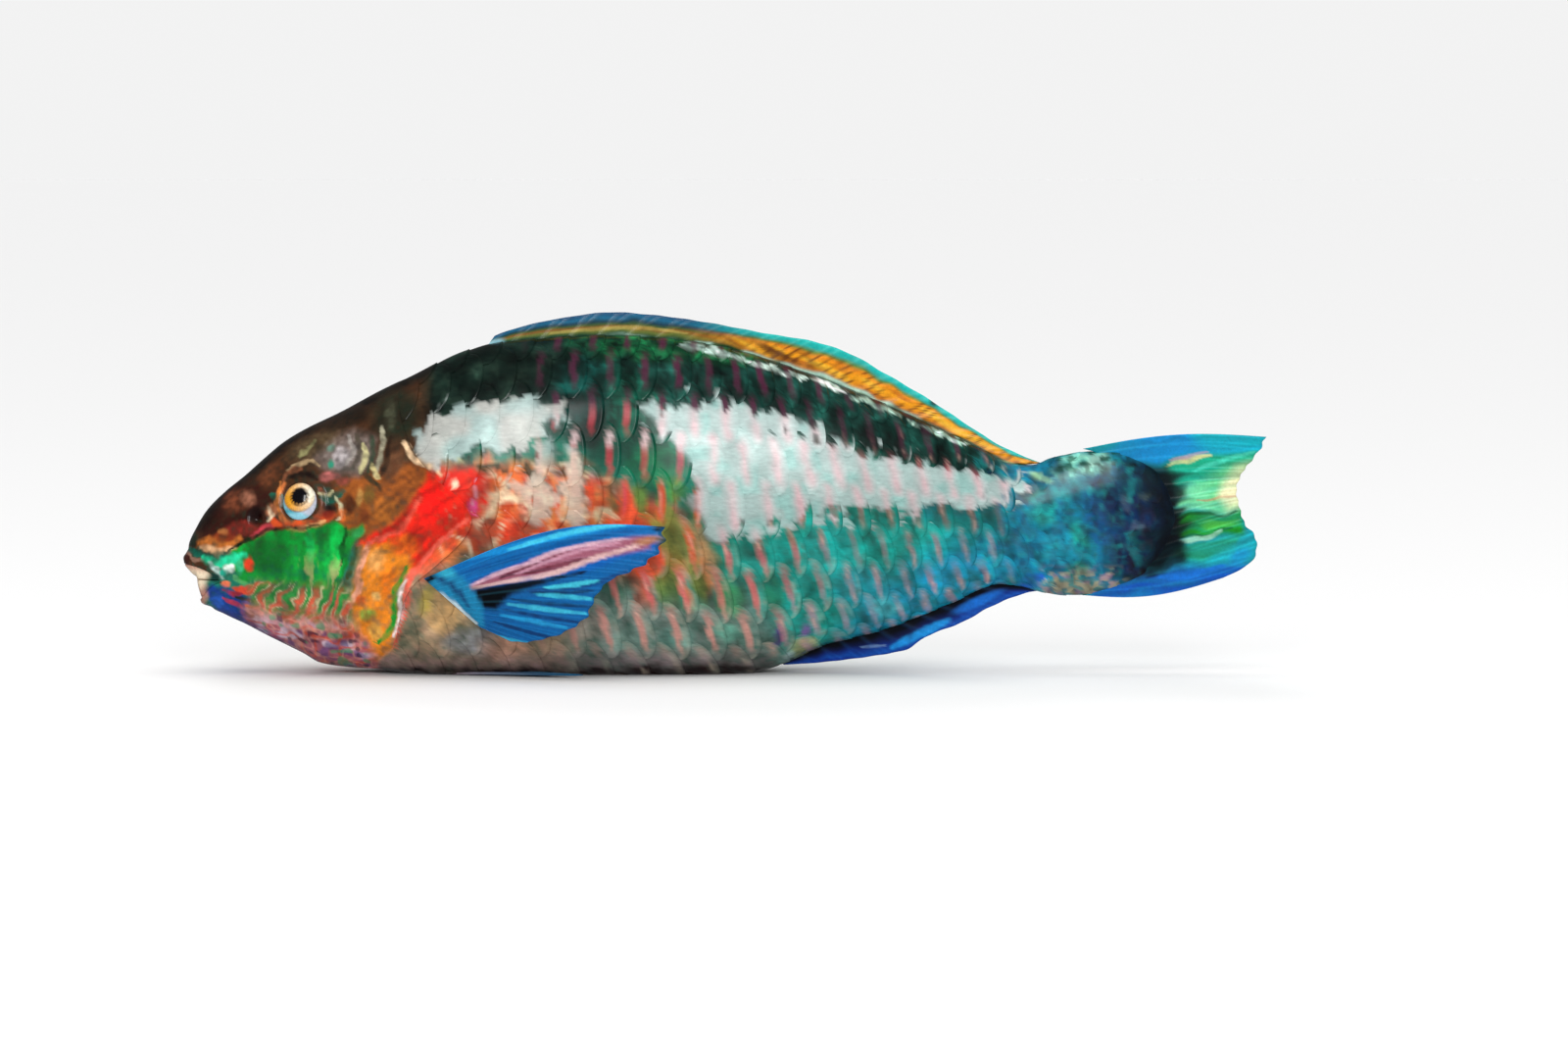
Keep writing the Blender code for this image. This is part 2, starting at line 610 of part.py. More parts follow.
def make_pelvic_fin(name, side):
    def surface(u, t):
        root = np.array([-101.0 + 10.0 * u, 13.6 - 1.6 * u])
        tip = np.array([-52.0 - 15.0 * u, 27.0 - 9.0 * u])
        x, y = root + (tip - root) * t
        return (x, side * y, 0.75 + 0.5 * t), (0.0, 0.0, 1.0)

    fin = ribbed_sheet(name, surface, 6, 6, thickness(0.62, 0.42), thickness(0.4, 0.28), 0.05)
    boolean(fin, "DIFFERENCE", clearance(TRUNK_STATIONS, TRUNK_AROUND))
    return paint(largest_shell(fin), (0.01, 0.20, 0.55), 0.35)


make_head()
make_beak("beak_upper", BITE_Z + GAP / 2, 60.0)
make_beak("beak_lower", 0.0, BITE_Z - GAP / 2)
make_trunk()
make_stalk()
make_dorsal_fin()
make_anal_fin()
make_caudal_fin()
for word, flank in (("left", -1), ("right", 1)):
    make_pectoral_fin("pectoral_fin_" + word, flank)
    make_pelvic_fin("pelvic_fin_" + word, flank)
    paint(eye_ball("eye_" + word, flank), (0.75, 0.55, 0.20), 0.1)
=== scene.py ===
"""The looks of a life-size parrotfish that rests on its slumped belly.

Lengths are in millimetres until put() turns them into metres. The fish lies along X, head towards
-X, with its left flank towards the camera at -Y. Markings are named patches, strokes and areas in
the side view, placed in pixels of the photograph by seen(). Skin, scales and fins share them.
"""

import math

import bmesh
import bpy
import numpy as np
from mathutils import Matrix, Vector


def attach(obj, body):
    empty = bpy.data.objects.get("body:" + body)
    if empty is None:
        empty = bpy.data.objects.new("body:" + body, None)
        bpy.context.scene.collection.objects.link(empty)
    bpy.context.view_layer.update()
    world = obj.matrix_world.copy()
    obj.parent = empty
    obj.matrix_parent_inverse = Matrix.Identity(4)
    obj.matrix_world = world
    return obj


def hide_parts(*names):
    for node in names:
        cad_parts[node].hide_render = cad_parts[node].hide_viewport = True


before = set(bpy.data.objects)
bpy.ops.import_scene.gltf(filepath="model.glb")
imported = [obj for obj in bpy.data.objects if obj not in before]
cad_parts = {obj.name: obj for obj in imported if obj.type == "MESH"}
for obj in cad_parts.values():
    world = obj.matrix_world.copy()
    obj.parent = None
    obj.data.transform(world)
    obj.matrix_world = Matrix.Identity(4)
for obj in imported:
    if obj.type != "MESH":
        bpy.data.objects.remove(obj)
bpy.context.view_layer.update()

MM = 0.001
GAP = 0.3
# The photograph: its width in pixels, a pixel's size, and the pixel of the fish's origin
PHOTO_WIDTH, PIXEL = 1600.0, 0.3597
PIXEL_X0, PIXEL_Y0 = 740.0, 687.0
SIDES = {-1: "left", 1: "right"}
DRAWS = np.random.default_rng(41)

# ---- The body's shape, with the same named outlines as the solids


def points_of(text):
    """Points written as "x,y x,y"."""
    return [tuple(map(float, word.split(","))) for word in text.split()]


TOP = points_of(
    "-200.2,41.4 -199.1,47.2 -196.2,53.6 -192.6,59.6 -185.4,67 -178.2,72.8 -171,79.2 -163.8,85.2 "
    "-156.6,89.6 -142.2,96.6 -127.8,104.4 -113.4,111.2 -99,118 -86,121.8 -72,123.5 -43,125 "
    "-21.6,123.8 0,120.4 21.6,114.1 57.6,100.1 93.6,83.2 107,77 114,76.8 119.5,79 125,80.4 "
    "132,81.6 142,82 155,77.6 163.5,69.8 167.4,58.4"
)
BELLY = points_of(
    "-200.2,39.2 -198,36.6 -195.9,34.4 -195.2,30.6 -193.8,26.4 -185.4,21.2 -178.2,17.8 -171,14 "
    "-163.8,10.4 -156.6,6.8 -150.5,3.4 -142,2 -128,0.9 -114,-0.6 -98,-2.2 -60,-2.8 -10,-2.4 8,-0.8 "
    "22,3.4 34.9,9.2 58.3,15.5 83.2,25.2 102,32.6 111,31.4 118,29.4 126,28.4 134,28.6 142,30.6 "
    "153,34.8 163.5,44.2 167.4,54.6"
)
HALF_WIDTH = points_of(
    "-200.2,4.6 -199,7.4 -196.5,9.8 -192.6,12.2 -185.4,15 -178.2,17.2 -163.8,21.4 -150,24.8 "
    "-128,28 -99,30.2 -72,30.8 -40,30.2 0,27.2 40,21.6 76,14.8 108,9.6 130,7.6 144,5.8 155,4 "
    "163.5,2.4 167.4,1.2"
)
WIDEST = points_of(
    "-200.2,40.2 -195,38 -185,41.5 -170,44.5 -150,46 -110,49 -60,50 0,51 60,55 108,55.5 140,56.5 "
    "167.4,56.5"
)
BACK_FULLNESS = points_of("-200.2,0.9 -150,0.98 -99,1.08 118,1.05 167.4,1")
BELLY_FULLNESS = points_of("-200.2,0.9 -170,1.05 -142,0.86 -120,0.74 -20,0.72 22,0.86 60,1 167.4,1")
SNOUT_X, TONGUE_X = TOP[0][0], TOP[-1][0]
GILL_EDGE = points_of(
    "-124,132 -121.5,106 -115.6,86 -106.4,74 -96.4,65.8 -92.4,58.4 -96.2,50.4 -106.2,41.2 "
    "-115,33.4 -118.6,24 -121,13.4 -125,3 -130,-12"
)
GILL_MIDDLE = -104.0
EYE, EYE_RADIUS, EYE_DEPTH_RADIUS, EYE_SUNK = (-155.9, 64.6), 7.4, 4.9, 2.3
NOSTRIL = (-172.4, 58.0)
CHEEK_EDGE = points_of("-111,66 -117,59 -129,48.5 -134,42 -133.8,30 -130.6,17 -126,6")
MOUTH_CORNER = (-185.4, 34.3)
UPPER_LIP = points_of("-206,41.4 -200.2,40.6 -195,39.7 -190.8,38.1 -188,36.2") + [MOUTH_CORNER]
LOWER_LIP = points_of("-206,25.6 -196,26.6 -193.6,28.2 -191,31 -188.6,33.2") + [MOUTH_CORNER]
BITE_Z = 35.1
DORSAL_MARGIN = points_of(
    "-90,121.6 -84.6,125 -77,127.6 -63,130.8 -41.4,133.4 -27,132.4 -9,130 16.2,125.4 32,122.8 "
    "45,118.6 59.4,110.6 75.6,101 88.2,92.6 102.6,83.6 117,77.4"
)
ANAL_MARGIN = points_of(
    "20,2.4 30.6,2.9 45,4.3 59.4,6.4 66.6,7.9 75,13.2 88.2,18.4 98,23.8 109.8,28.6 116.6,30.2"
)
# How far down the tail's edge, and the x and z there
TAIL_TIPS = points_of(
    "0,200.2,87.2 0.07,199,83.8 0.16,195.4,78.6 0.28,191.6,73.6 0.42,189.4,67.4 0.56,190.6,61 "
    "0.68,192.4,55.4 0.8,196.8,49.6 0.88,197.2,44.4 0.95,192.4,38.6 1,184.6,34.8"
)
PECTORAL_ROOT = ((-110.4, 36.8), (-91.6, 20.2))
PECTORAL_TIPS = points_of(
    "-21.6,55.4 -21,50.6 -23.6,45.8 -28.6,41.6 -34.6,38.8 -40.6,36.4 -45,32.2 -47.6,27.4 "
    "-49.4,22.6 -54,18.8 -60,15.6 -66.8,13.6 -72.4,12.4 -78.4,12.6"
)


def curve(points, x):
    """The smooth, monotone-limited curve through points, at x."""
    xs, ys = np.array(points).T
    steps = np.diff(xs)
    slopes = np.diff(ys) / steps
    tangents = np.zeros(len(xs))
    rising = slopes[:-1] * slopes[1:] > 0
    a, b = 2 * steps[1:] + steps[:-1], steps[1:] + 2 * steps[:-1]
    safe = np.where(rising, slopes[:-1] * slopes[1:], 1.0)
    harmonic = (a + b) * safe / (a * slopes[1:] + b * slopes[:-1] + ~rising)
    tangents[1:-1] = np.where(rising, harmonic, 0.0)
    tangents[0], tangents[-1] = slopes[0], slopes[-1]
    x = np.clip(np.asarray(x, float), xs[0], xs[-1])
    i = np.clip(np.searchsorted(xs, x, side="right") - 1, 0, len(steps) - 1)
    t = (x - xs[i]) / steps[i]
    t2, t3 = t * t, t * t * t
    return (
        (2 * t3 - 3 * t2 + 1) * ys[i] + (t3 - 2 * t2 + t) * steps[i] * tangents[i]
        + (3 * t2 - 2 * t3) * ys[i + 1] + (t3 - t2) * steps[i] * tangents[i + 1]
    )


def smooth_path(points, per_span=4):
    """Catmull-Rom points through a list of points."""
    p = [np.array(q) for q in points]
    p = [2 * p[0] - p[1], *p, 2 * p[-1] - p[-2]]
    made = []
    for i in range(1, len(p) - 2):
        for s in range(per_span):
            t = s / per_span
            made.append(0.5 * (
                2 * p[i] + (p[i + 1] - p[i - 1]) * t
                + (2 * p[i - 1] - 5 * p[i] + 4 * p[i + 1] - p[i + 2]) * t * t
                + (3 * p[i] - p[i - 1] - 3 * p[i + 1] + p[i + 2]) * t ** 3
            ))
    return np.array([*made, p[-2]])


def bump(distance, width):
    """1 at no distance, fading to 0 over about that width."""
    return np.exp(-((distance / width) ** 2))


def ease(value, low, high):
    """A soft step from 0 at low to 1 at high."""
    t = np.clip((value - low) / (high - low), 0.0, 1.0)
    return t * t * (3 - 2 * t)


def path_distance(points, path):
    """Distance of each point from a path, and how far along it (0 to 1) its nearest place is."""
    a, b = path[:-1], path[1:]
    ab = b - a
    best, along = np.full(len(points), 1e9), np.zeros(len(points))
    for i in range(len(a)):
        t = np.clip(((points - a[i]) @ ab[i]) / max(ab[i] @ ab[i], 1e-9), 0, 1)
        d = np.linalg.norm(points - (a[i] + t[:, None] * ab[i]), axis=1)
        closer = d < best
        best[closer], along[closer] = d[closer], (i + t[closer]) / len(a)
    return best, along


HALF_SECTION = np.linspace(0.0, math.pi, 181)


def half_section(x):
    """(y, z) from the middle of the back down one flank to the middle of the belly, with y >= 0."""
    top, belly = curve(TOP, x), curve(BELLY, x)
    wide, level = curve(HALF_WIDTH, x), curve(WIDEST, x)
    level = min(max(level, belly + 0.3 * (top - belly)), top - 0.3 * (top - belly))
    sine, cosine = np.sin(HALF_SECTION), np.cos(HALF_SECTION)
    upper = cosine >= 0
    fullness = np.where(upper, curve(BACK_FULLNESS, x), curve(BELLY_FULLNESS, x))
    y = wide * np.clip(sine, 0.0, 1.0) ** fullness
    drop = np.abs(cosine) ** np.where(upper, 1.0, 0.5 + 0.5 * fullness)
    z = np.where(upper, level + (top - level) * drop, level - (level - belly) * drop)
    return y, z


# The body as a table: rows of stations along X, columns from back to belly by equal arc
TABLE_X = np.linspace(SNOUT_X, TONGUE_X, 920)
TABLE_S = np.linspace(0.0, 0.5, 241)
TABLE_HALF = np.zeros(len(TABLE_X))
TABLE_Y, TABLE_Z = np.zeros((2, len(TABLE_X), len(TABLE_S)))
for row, station in enumerate(TABLE_X):
    side_y, side_z = half_section(station)
    arc = np.concatenate([[0.0], np.cumsum(np.hypot(np.diff(side_y), np.diff(side_z)))])
    TABLE_HALF[row] = arc[-1]
    TABLE_Y[row] = np.interp(TABLE_S * 2 * arc[-1], arc, side_y)
    TABLE_Z[row] = np.interp(TABLE_S * 2 * arc[-1], arc, side_z)


def on_body(x, share):
    """Points of the body; share 0 is the back, 0.5 the belly, and less than 0.5 the left flank."""
    x, share = np.broadcast_arrays(np.asarray(x, float), np.asarray(share, float) % 1.0)
    folded = np.where(share <= 0.5, share, 1.0 - share)
    i = np.clip((x - SNOUT_X) / (TABLE_X[1] - TABLE_X[0]), 0, len(TABLE_X) - 1.000001)
    j = np.clip(folded / TABLE_S[1], 0, len(TABLE_S) - 1.000001)
    i0, j0 = i.astype(int), j.astype(int)
    fi, fj = i - i0, j - j0

    def looked_up(table):
        low = table[i0, j0] * (1 - fj) + table[i0, j0 + 1] * fj
        high = table[i0 + 1, j0] * (1 - fj) + table[i0 + 1, j0 + 1] * fj
        return low * (1 - fi) + high * fi

    side = np.where(share < 0.5, -1.0, 1.0)
    return np.stack([x, looked_up(TABLE_Y) * side, looked_up(TABLE_Z)], axis=-1)


def body_normal(x, share):
    """Unit normals of the body that point out of it."""
    along = on_body(x + 0.9, share) - on_body(x - 0.9, share)
    around = on_body(x, share + 0.004) - on_body(x, share - 0.004)
    normal = np.cross(along, around)
    axis = np.stack(np.broadcast_arrays(x, 0.0 * share, curve(WIDEST, x)), axis=-1)
    outward = np.sum(normal * (on_body(x, share) - axis), axis=-1, keepdims=True)
    normal *= np.sign(outward + 1e-12)
    return normal / np.maximum(np.linalg.norm(normal, axis=-1, keepdims=True), 1e-9)


def half_length(x):
    """Arc from the middle of the back to the middle of the belly."""
    return np.interp(x, TABLE_X, TABLE_HALF)


def flank_width(x, z):
    y, level = half_section(x)
    return float(np.interp(-z, -level, y))


def gill_x(z):
    edge = smooth_path(GILL_EDGE)
    return np.interp(-np.asarray(z), -edge[:, 1], edge[:, 0])


def head_relief(x, z):
    """How far the head's surface stands out from the plain loft."""
    points = np.stack([x, z], axis=-1).reshape(-1, 2)
    x, z = points.T
    ahead = np.clip(gill_x(z) - x, 0, None)
    relief = 1.3 * np.exp(-ahead / 9.0) * ease(z, 8.0, 20.0) * (1 - ease(z, 84.0, 104.0))
    cheek = smooth_path(CHEEK_EDGE)
    away, _ = path_distance(points, cheek)
    before = np.interp(-z, -cheek[:, 1], cheek[:, 0]) - x
    step = 0.7 * ease(before, -0.5, 1.5) * np.exp(-np.clip(before, 0, None) / 14.0)
    relief += ease(z, 6.0, 14.0) * (1 - ease(z, 58.0, 68.0)) * (step - 0.7 * bump(away, 1.2))
    from_eye = np.hypot(x - EYE[0], z - EYE[1])
    relief += 1.1 * bump(from_eye - EYE_RADIUS - 0.6, 1.5)
    from_nostril = np.hypot(x - NOSTRIL[0], (z - NOSTRIL[1]) * 0.8)
    relief += 0.5 * bump(from_nostril - 3.4, 1.2) - 1.9 * bump(from_nostril, 1.8)
    corner = MOUTH_CORNER[0]
    for lip, outside in ((UPPER_LIP, 1.9), (LOWER_LIP, -1.9)):
        off, _ = path_distance(points, smooth_path(lip) + np.array([0.0, outside]))
        relief += 0.9 * bump(off, 1.7) * (1 - ease(x, corner, corner + 3.0))
        relief -= 0.35 * bump(off - 3.6, 1.2) * (1 - ease(x, corner - 2.0, corner + 1.0))
    return relief


# ---- Smooth noise for colours and shapes

LATTICE = DRAWS.random((32, 32, 32))


def noise(points, size, shift=0.0):
    """Smooth noise from 0 to 1 whose blobs are about that size."""
    p = points / size + shift * 7.31
    cell = np.floor(p).astype(int)
    f = p - cell
    f = f * f * (3 - 2 * f)
    total = np.zeros(p.shape[:-1])
    for corner in np.ndindex(2, 2, 2):
        x, y, z = ((cell[..., k] + corner[k]) % len(LATTICE) for k in range(3))
        wx, wy, wz = (f[..., k] if corner[k] else 1 - f[..., k] for k in range(3))
        total += LATTICE[x, y, z] * wx * wy * wz
    return total


def streaks(at, angle, along, across, shift):
    """Noise drawn out along an angle of the side view, from 0 to 1."""
    a = math.radians(angle)
    u = (at[:, 0] * math.cos(a) + at[:, 1] * math.sin(a)) / along
    v = (at[:, 1] * math.cos(a) - at[:, 0] * math.sin(a)) / across
    return noise(np.stack([u, v, 0 * u + 0.37 * shift], axis=-1), 1.0, shift)


def lines(values, width):
    """Winding lines where smooth noise crosses its middle."""
    return bump(values - 0.5, width)


# ---- Markings


def shade(word):
    """A linear colour from a written one such as "c83820"."""
    values = np.array([int(word[i:i + 2], 16) for i in (0, 2, 4)]) / 255.0
    return np.where(values <= 0.04045, values / 12.92, ((values + 0.055) / 1.055) ** 2.4)


def seen(points):
    """Pixels of the photograph for points of the fish; what stands nearer the camera sits lower."""
    rise = points[..., 2] - 0.07 * np.abs(points[..., 1])
    return np.stack([PIXEL_X0 + points[..., 0] / PIXEL, PIXEL_Y0 - rise / PIXEL], axis=-1)


def area_depth(at, outline):
    """Distance inside (positive) or outside (negative) a closed outline, written as points."""
    outline = points_of(outline)
    closed = np.array([*outline, outline[0]])
    distance, _ = path_distance(at, closed)
    inside = np.zeros(len(at), bool)
    for (x0, y0), (x1, y1) in zip(closed[:-1], closed[1:]):
        if y0 == y1:
            continue
        crosses = (at[:, 1] < y0) != (at[:, 1] < y1)
        inside ^= crosses & (at[:, 0] < x0 + (at[:, 1] - y0) * (x1 - x0) / (y1 - y0))
    return np.where(inside, distance, -distance)


def patch(colour, strength, x, y, rx, ry, angle=0.0, soft=0.6):
    """An oval: soft 0 is a hard edge, 1 fades from its middle."""
    sine, cosine = math.sin(math.radians(angle)), math.cos(math.radians(angle))

    def cover(at):
        dx, dy = at[:, 0] - x, at[:, 1] - y
        r = np.hypot((dx * cosine + dy * sine) / rx, (dy * cosine - dx * sine) / ry)
        return strength * (1 - ease(r, 1.0 - 0.9 * soft, 1.0 + 0.35 * soft))

    return colour, cover


def stroke(colour, strength, width, path, soft=0.6):
    """A line along a written path, uneven as skin is and thinner towards both its ends."""
    points = points_of(path)
    line = smooth_path(points, 3) if len(points) > 2 else np.array(points)
    low, high = line.min(axis=0) - 2 * width, line.max(axis=0) + 2 * width

    def cover(at):
        near = ((at > low) & (at < high)).all(axis=1)
        made = np.zeros(len(at))
        if near.any():
            d, along = path_distance(at[near], line)
            half = 0.5 * width * (0.45 + 0.55 * np.sin(math.pi * np.clip(along, 0.04, 0.96)) ** 0.6)
            flat = np.column_stack([at[near], np.full(len(d), 0.13 * points[0][0])])
            half = half * (0.75 + 0.5 * noise(flat, 5.0, width))
            worn = np.clip(0.45 + 1.0 * noise(flat, 7.0, 1.0 + width), 0, 1)
            made[near] = strength * worn * (1 - ease(d / half, 1.0 - 0.8 * soft, 1.0 + 0.7 * soft))
        return made

    return colour, cover


def area(colour, strength, soft, outline):
    """A filled outline whose edge fades over soft pixels."""

    def cover(at):
        return strength * ease(area_depth(at, outline), -0.5 * soft, 0.5 * soft)

    return colour, cover


def plain(points, word):
    return np.ones((len(points), 3)) * shade(word)


def mixed(colours, others, weight):
    return colours * (1 - weight[:, None]) + others * weight[:, None]


def blend(colours, word, weight):
    return mixed(colours, shade(word), weight)


def painted(colours, at, marks, uneven=1.0):
    for word, cover in marks:
        colours = blend(colours, word, np.clip(cover(at) * uneven, 0, 1))
    return colours


def covered(at, marks):
    """The same, for one number a point: each mark's colour is the number it moves to."""
    value = np.zeros(len(at))
    for number, cover in marks:
        weight = cover(at)
        value = value * (1 - weight) + number * weight
    return value


def layered(t, *stops):
    """Colours at places from root to margin."""
    places = [place for place, word in stops]
    tones = np.array([shade(word) for place, word in stops])
    return np.stack([np.interp(t, places, tones[:, k]) for k in range(3)], axis=-1)


TRUNK_MARKS = [
    area("6f8078", 0.85, 60, "500,610 640,600 770,600 820,650 800,700 500,700"),
    area("a5896c", 0.85, 60, "380,590 520,560 580,600 580,700 300,700"),
    area("0c9a8e", 0.85, 60, "740,560 830,525 960,505 1080,480 1080,640 820,700 790,640"),
    area("0684b8", 0.6, 46, "880,610 960,560 1060,530 1080,640 840,700"),
    area("123f36", 0.55, 40, "640,340 760,350 900,400 1050,468 1040,490 860,440 690,420"),
    area("0c6a3a", 0.8, 14, "575,345 640,338 740,346 800,362 740,372 640,362 575,366"),
    area("14241c", 0.85, 40, "380,440 400,380 500,340 600,350 560,400 440,440"),
    patch("06523f", 0.9, 630, 430, 52, 62),
    patch("043c36", 0.8, 596, 400, 34, 56),
    patch("0a7a4c", 0.8, 672, 476, 34, 26),
    patch("04241c", 0.8, 606, 440, 14, 30, 10),
    area("dd4f2a", 0.92, 26, "400,470 470,476 560,476 640,500 690,518 708,560 690,596 640,590 "
         "560,560 480,560 430,590"),
    patch("e8a86c", 0.75, 560, 506, 30, 26),
    patch("efd9bd", 0.8, 548, 500, 15, 30, 12),
    patch("e9c9a6", 0.7, 585, 520, 12, 24, 8),
    patch("ee7a35", 0.8, 520, 500, 22, 28),
    patch("5a8a36", 0.75, 655, 505, 10, 13),
    patch("4c8a3c", 0.75, 690, 500, 10, 14),
    patch("c08c58", 0.8, 714, 566, 17, 36, -14),
    patch("e09c78", 0.8, 700, 552, 10, 28, -10),
    patch("d8804c", 0.75, 716, 584, 9, 26, -16),
    patch("6c9040", 0.7, 672, 545, 12, 24, -10),
    patch("2f8a55", 0.7, 745, 610, 16, 22, -14),
    patch("1d7f60", 0.75, 788, 604, 15, 24, -14),
    patch("4f9b78", 0.7, 706, 612, 13, 16),
    patch("58a08a", 0.65, 745, 646, 20, 13),
    patch("5d9c8e", 0.6, 690, 650, 20, 12),
    patch("6e9488", 0.6, 640, 655, 18, 12),
    patch("9c8f84", 0.6, 600, 640, 26, 16),
    patch("87929a", 0.7, 480, 655, 32, 16),
    patch("c49a60", 0.7, 455, 622, 24, 26, 40),
    patch("ac9a3c", 0.7, 437, 612, 10, 20, 20),
    patch("bd8c74", 0.7, 515, 660, 30, 14),
    patch("13a39c", 0.6, 850, 560, 30, 40),
    patch("1496a8", 0.6, 880, 600, 36, 26),
    patch("4fc4c8", 0.6, 905, 622, 18, 14),
    patch("5a2f8c", 0.9, 793, 648, 6, 13, 6, 0.5),
    patch("7a4a9a", 0.7, 823, 642, 6, 8, 0, 0.6),
    patch("b9b06a", 0.7, 822, 662, 16, 12),
    patch("9fb6b6", 0.7, 806, 672, 8, 9),
    # Painted highlights: white glints on the top row of scales along the dorsal fin's base
    stroke("d4f4e6", 0.95, 7, "694,351 714,354 730,357"),
    stroke("d4f4e6", 0.95, 7, "724,353 744,360 762,366"),
    stroke("dcf6e8", 0.95, 6, "766,370 794,377 822,383"),
    stroke("dcf6e8", 0.95, 6, "828,386 846,390 862,397"),
    stroke("c4ecd8", 0.9, 5, "869,403 896,412 920,422"),
    stroke("c4ecd8", 0.85, 4, "930,428 960,440 990,452"),
    area("7a646a", 0.6, 22, "300,690 330,668 600,668 790,668 800,700"),
    # Painted shadow: a near-black band along the bottom of the belly where it meets the floor
    area("1c080c", 0.95, 9, "290,700 330,681 560,684 760,678 790,700"),
    area("08121a", 0.9, 14, "806,684 830,662 904,648 962,625 1010,603 1046,592 1046,610 940,655 "
         "860,690"),
    area("0a5560", 0.7, 34, "930,500 1050,490 1060,530 1000,540 940,530"),
]

CHEEK_GREEN = (
    "226,568 248,556 262,548 280,541 298,540 313,541 328,536 340,533 350,537 357,543 372,534 "
    "368,548 360,560 356,575 351,592 345,600 333,603 318,600 300,596 283,597 268,594 254,594 "
    "243,598 238,586 232,576"
)
THROAT = (
    "244,612 268,604 300,612 340,620 364,622 368,645 380,668 384,700 300,700 270,660 244,640"
)

STALK_MARKS = [
    area("047c9e", 0.95, 40, "1030,470 1120,440 1230,440 1230,620 1030,620"),
    patch("0c4c26", 0.8, 1050, 500, 16, 12),
    patch("11a79c", 0.75, 1066, 520, 15, 22),
    patch("0e9ab4", 0.7, 1084, 560, 24, 20),
    patch("12a88e", 0.75, 1102, 546, 10, 18, -12),
    patch("0a5a9c", 0.8, 1128, 530, 26, 32),
    patch("10807c", 0.6, 1092, 498, 30, 12),
    area("041c3e", 0.88, 26, "1110,492 1165,476 1200,490 1206,560 1170,598 1130,590 1135,540"),
    stroke("020a10", 0.95, 30, "1150,476 1182,482 1199,506 1201,540 1190,572 1158,590", soft=0.8),
    patch("032450", 0.75, 1168, 520, 14, 16),
    patch("6f7f6a", 0.5, 1171, 506, 7, 6),
    patch("5c7080", 0.45, 1151, 512, 6, 10),
    patch("61708c", 0.4, 1162, 536, 8, 6),
    # On top of the stalk a pale green-white area, partly the skin's own spots and partly painted
    # highlight, with a painted white glint
    area("8edcc2", 0.85, 10, "1076,480 1092,464 1130,458 1137,470 1132,482 1104,487 1084,490"),
    patch("0d5040", 0.8, 1086, 478, 5, 6),
    patch("c2f0dc", 0.7, 1120, 468, 12, 6, -10),
    stroke("083a30", 0.85, 9, "1050,466 1078,463 1106,457", soft=0.8),
    patch("a3d8a8", 0.8, 1064, 486, 14, 5, 18),
    area("6f8a6a", 0.6, 12, "1062,606 1076,592 1112,590 1130,596 1120,612"),
    patch("1f9a78", 0.7, 1100, 582, 14, 8),
    patch("0a55b8", 0.8, 1054, 594, 18, 8, -20),
]

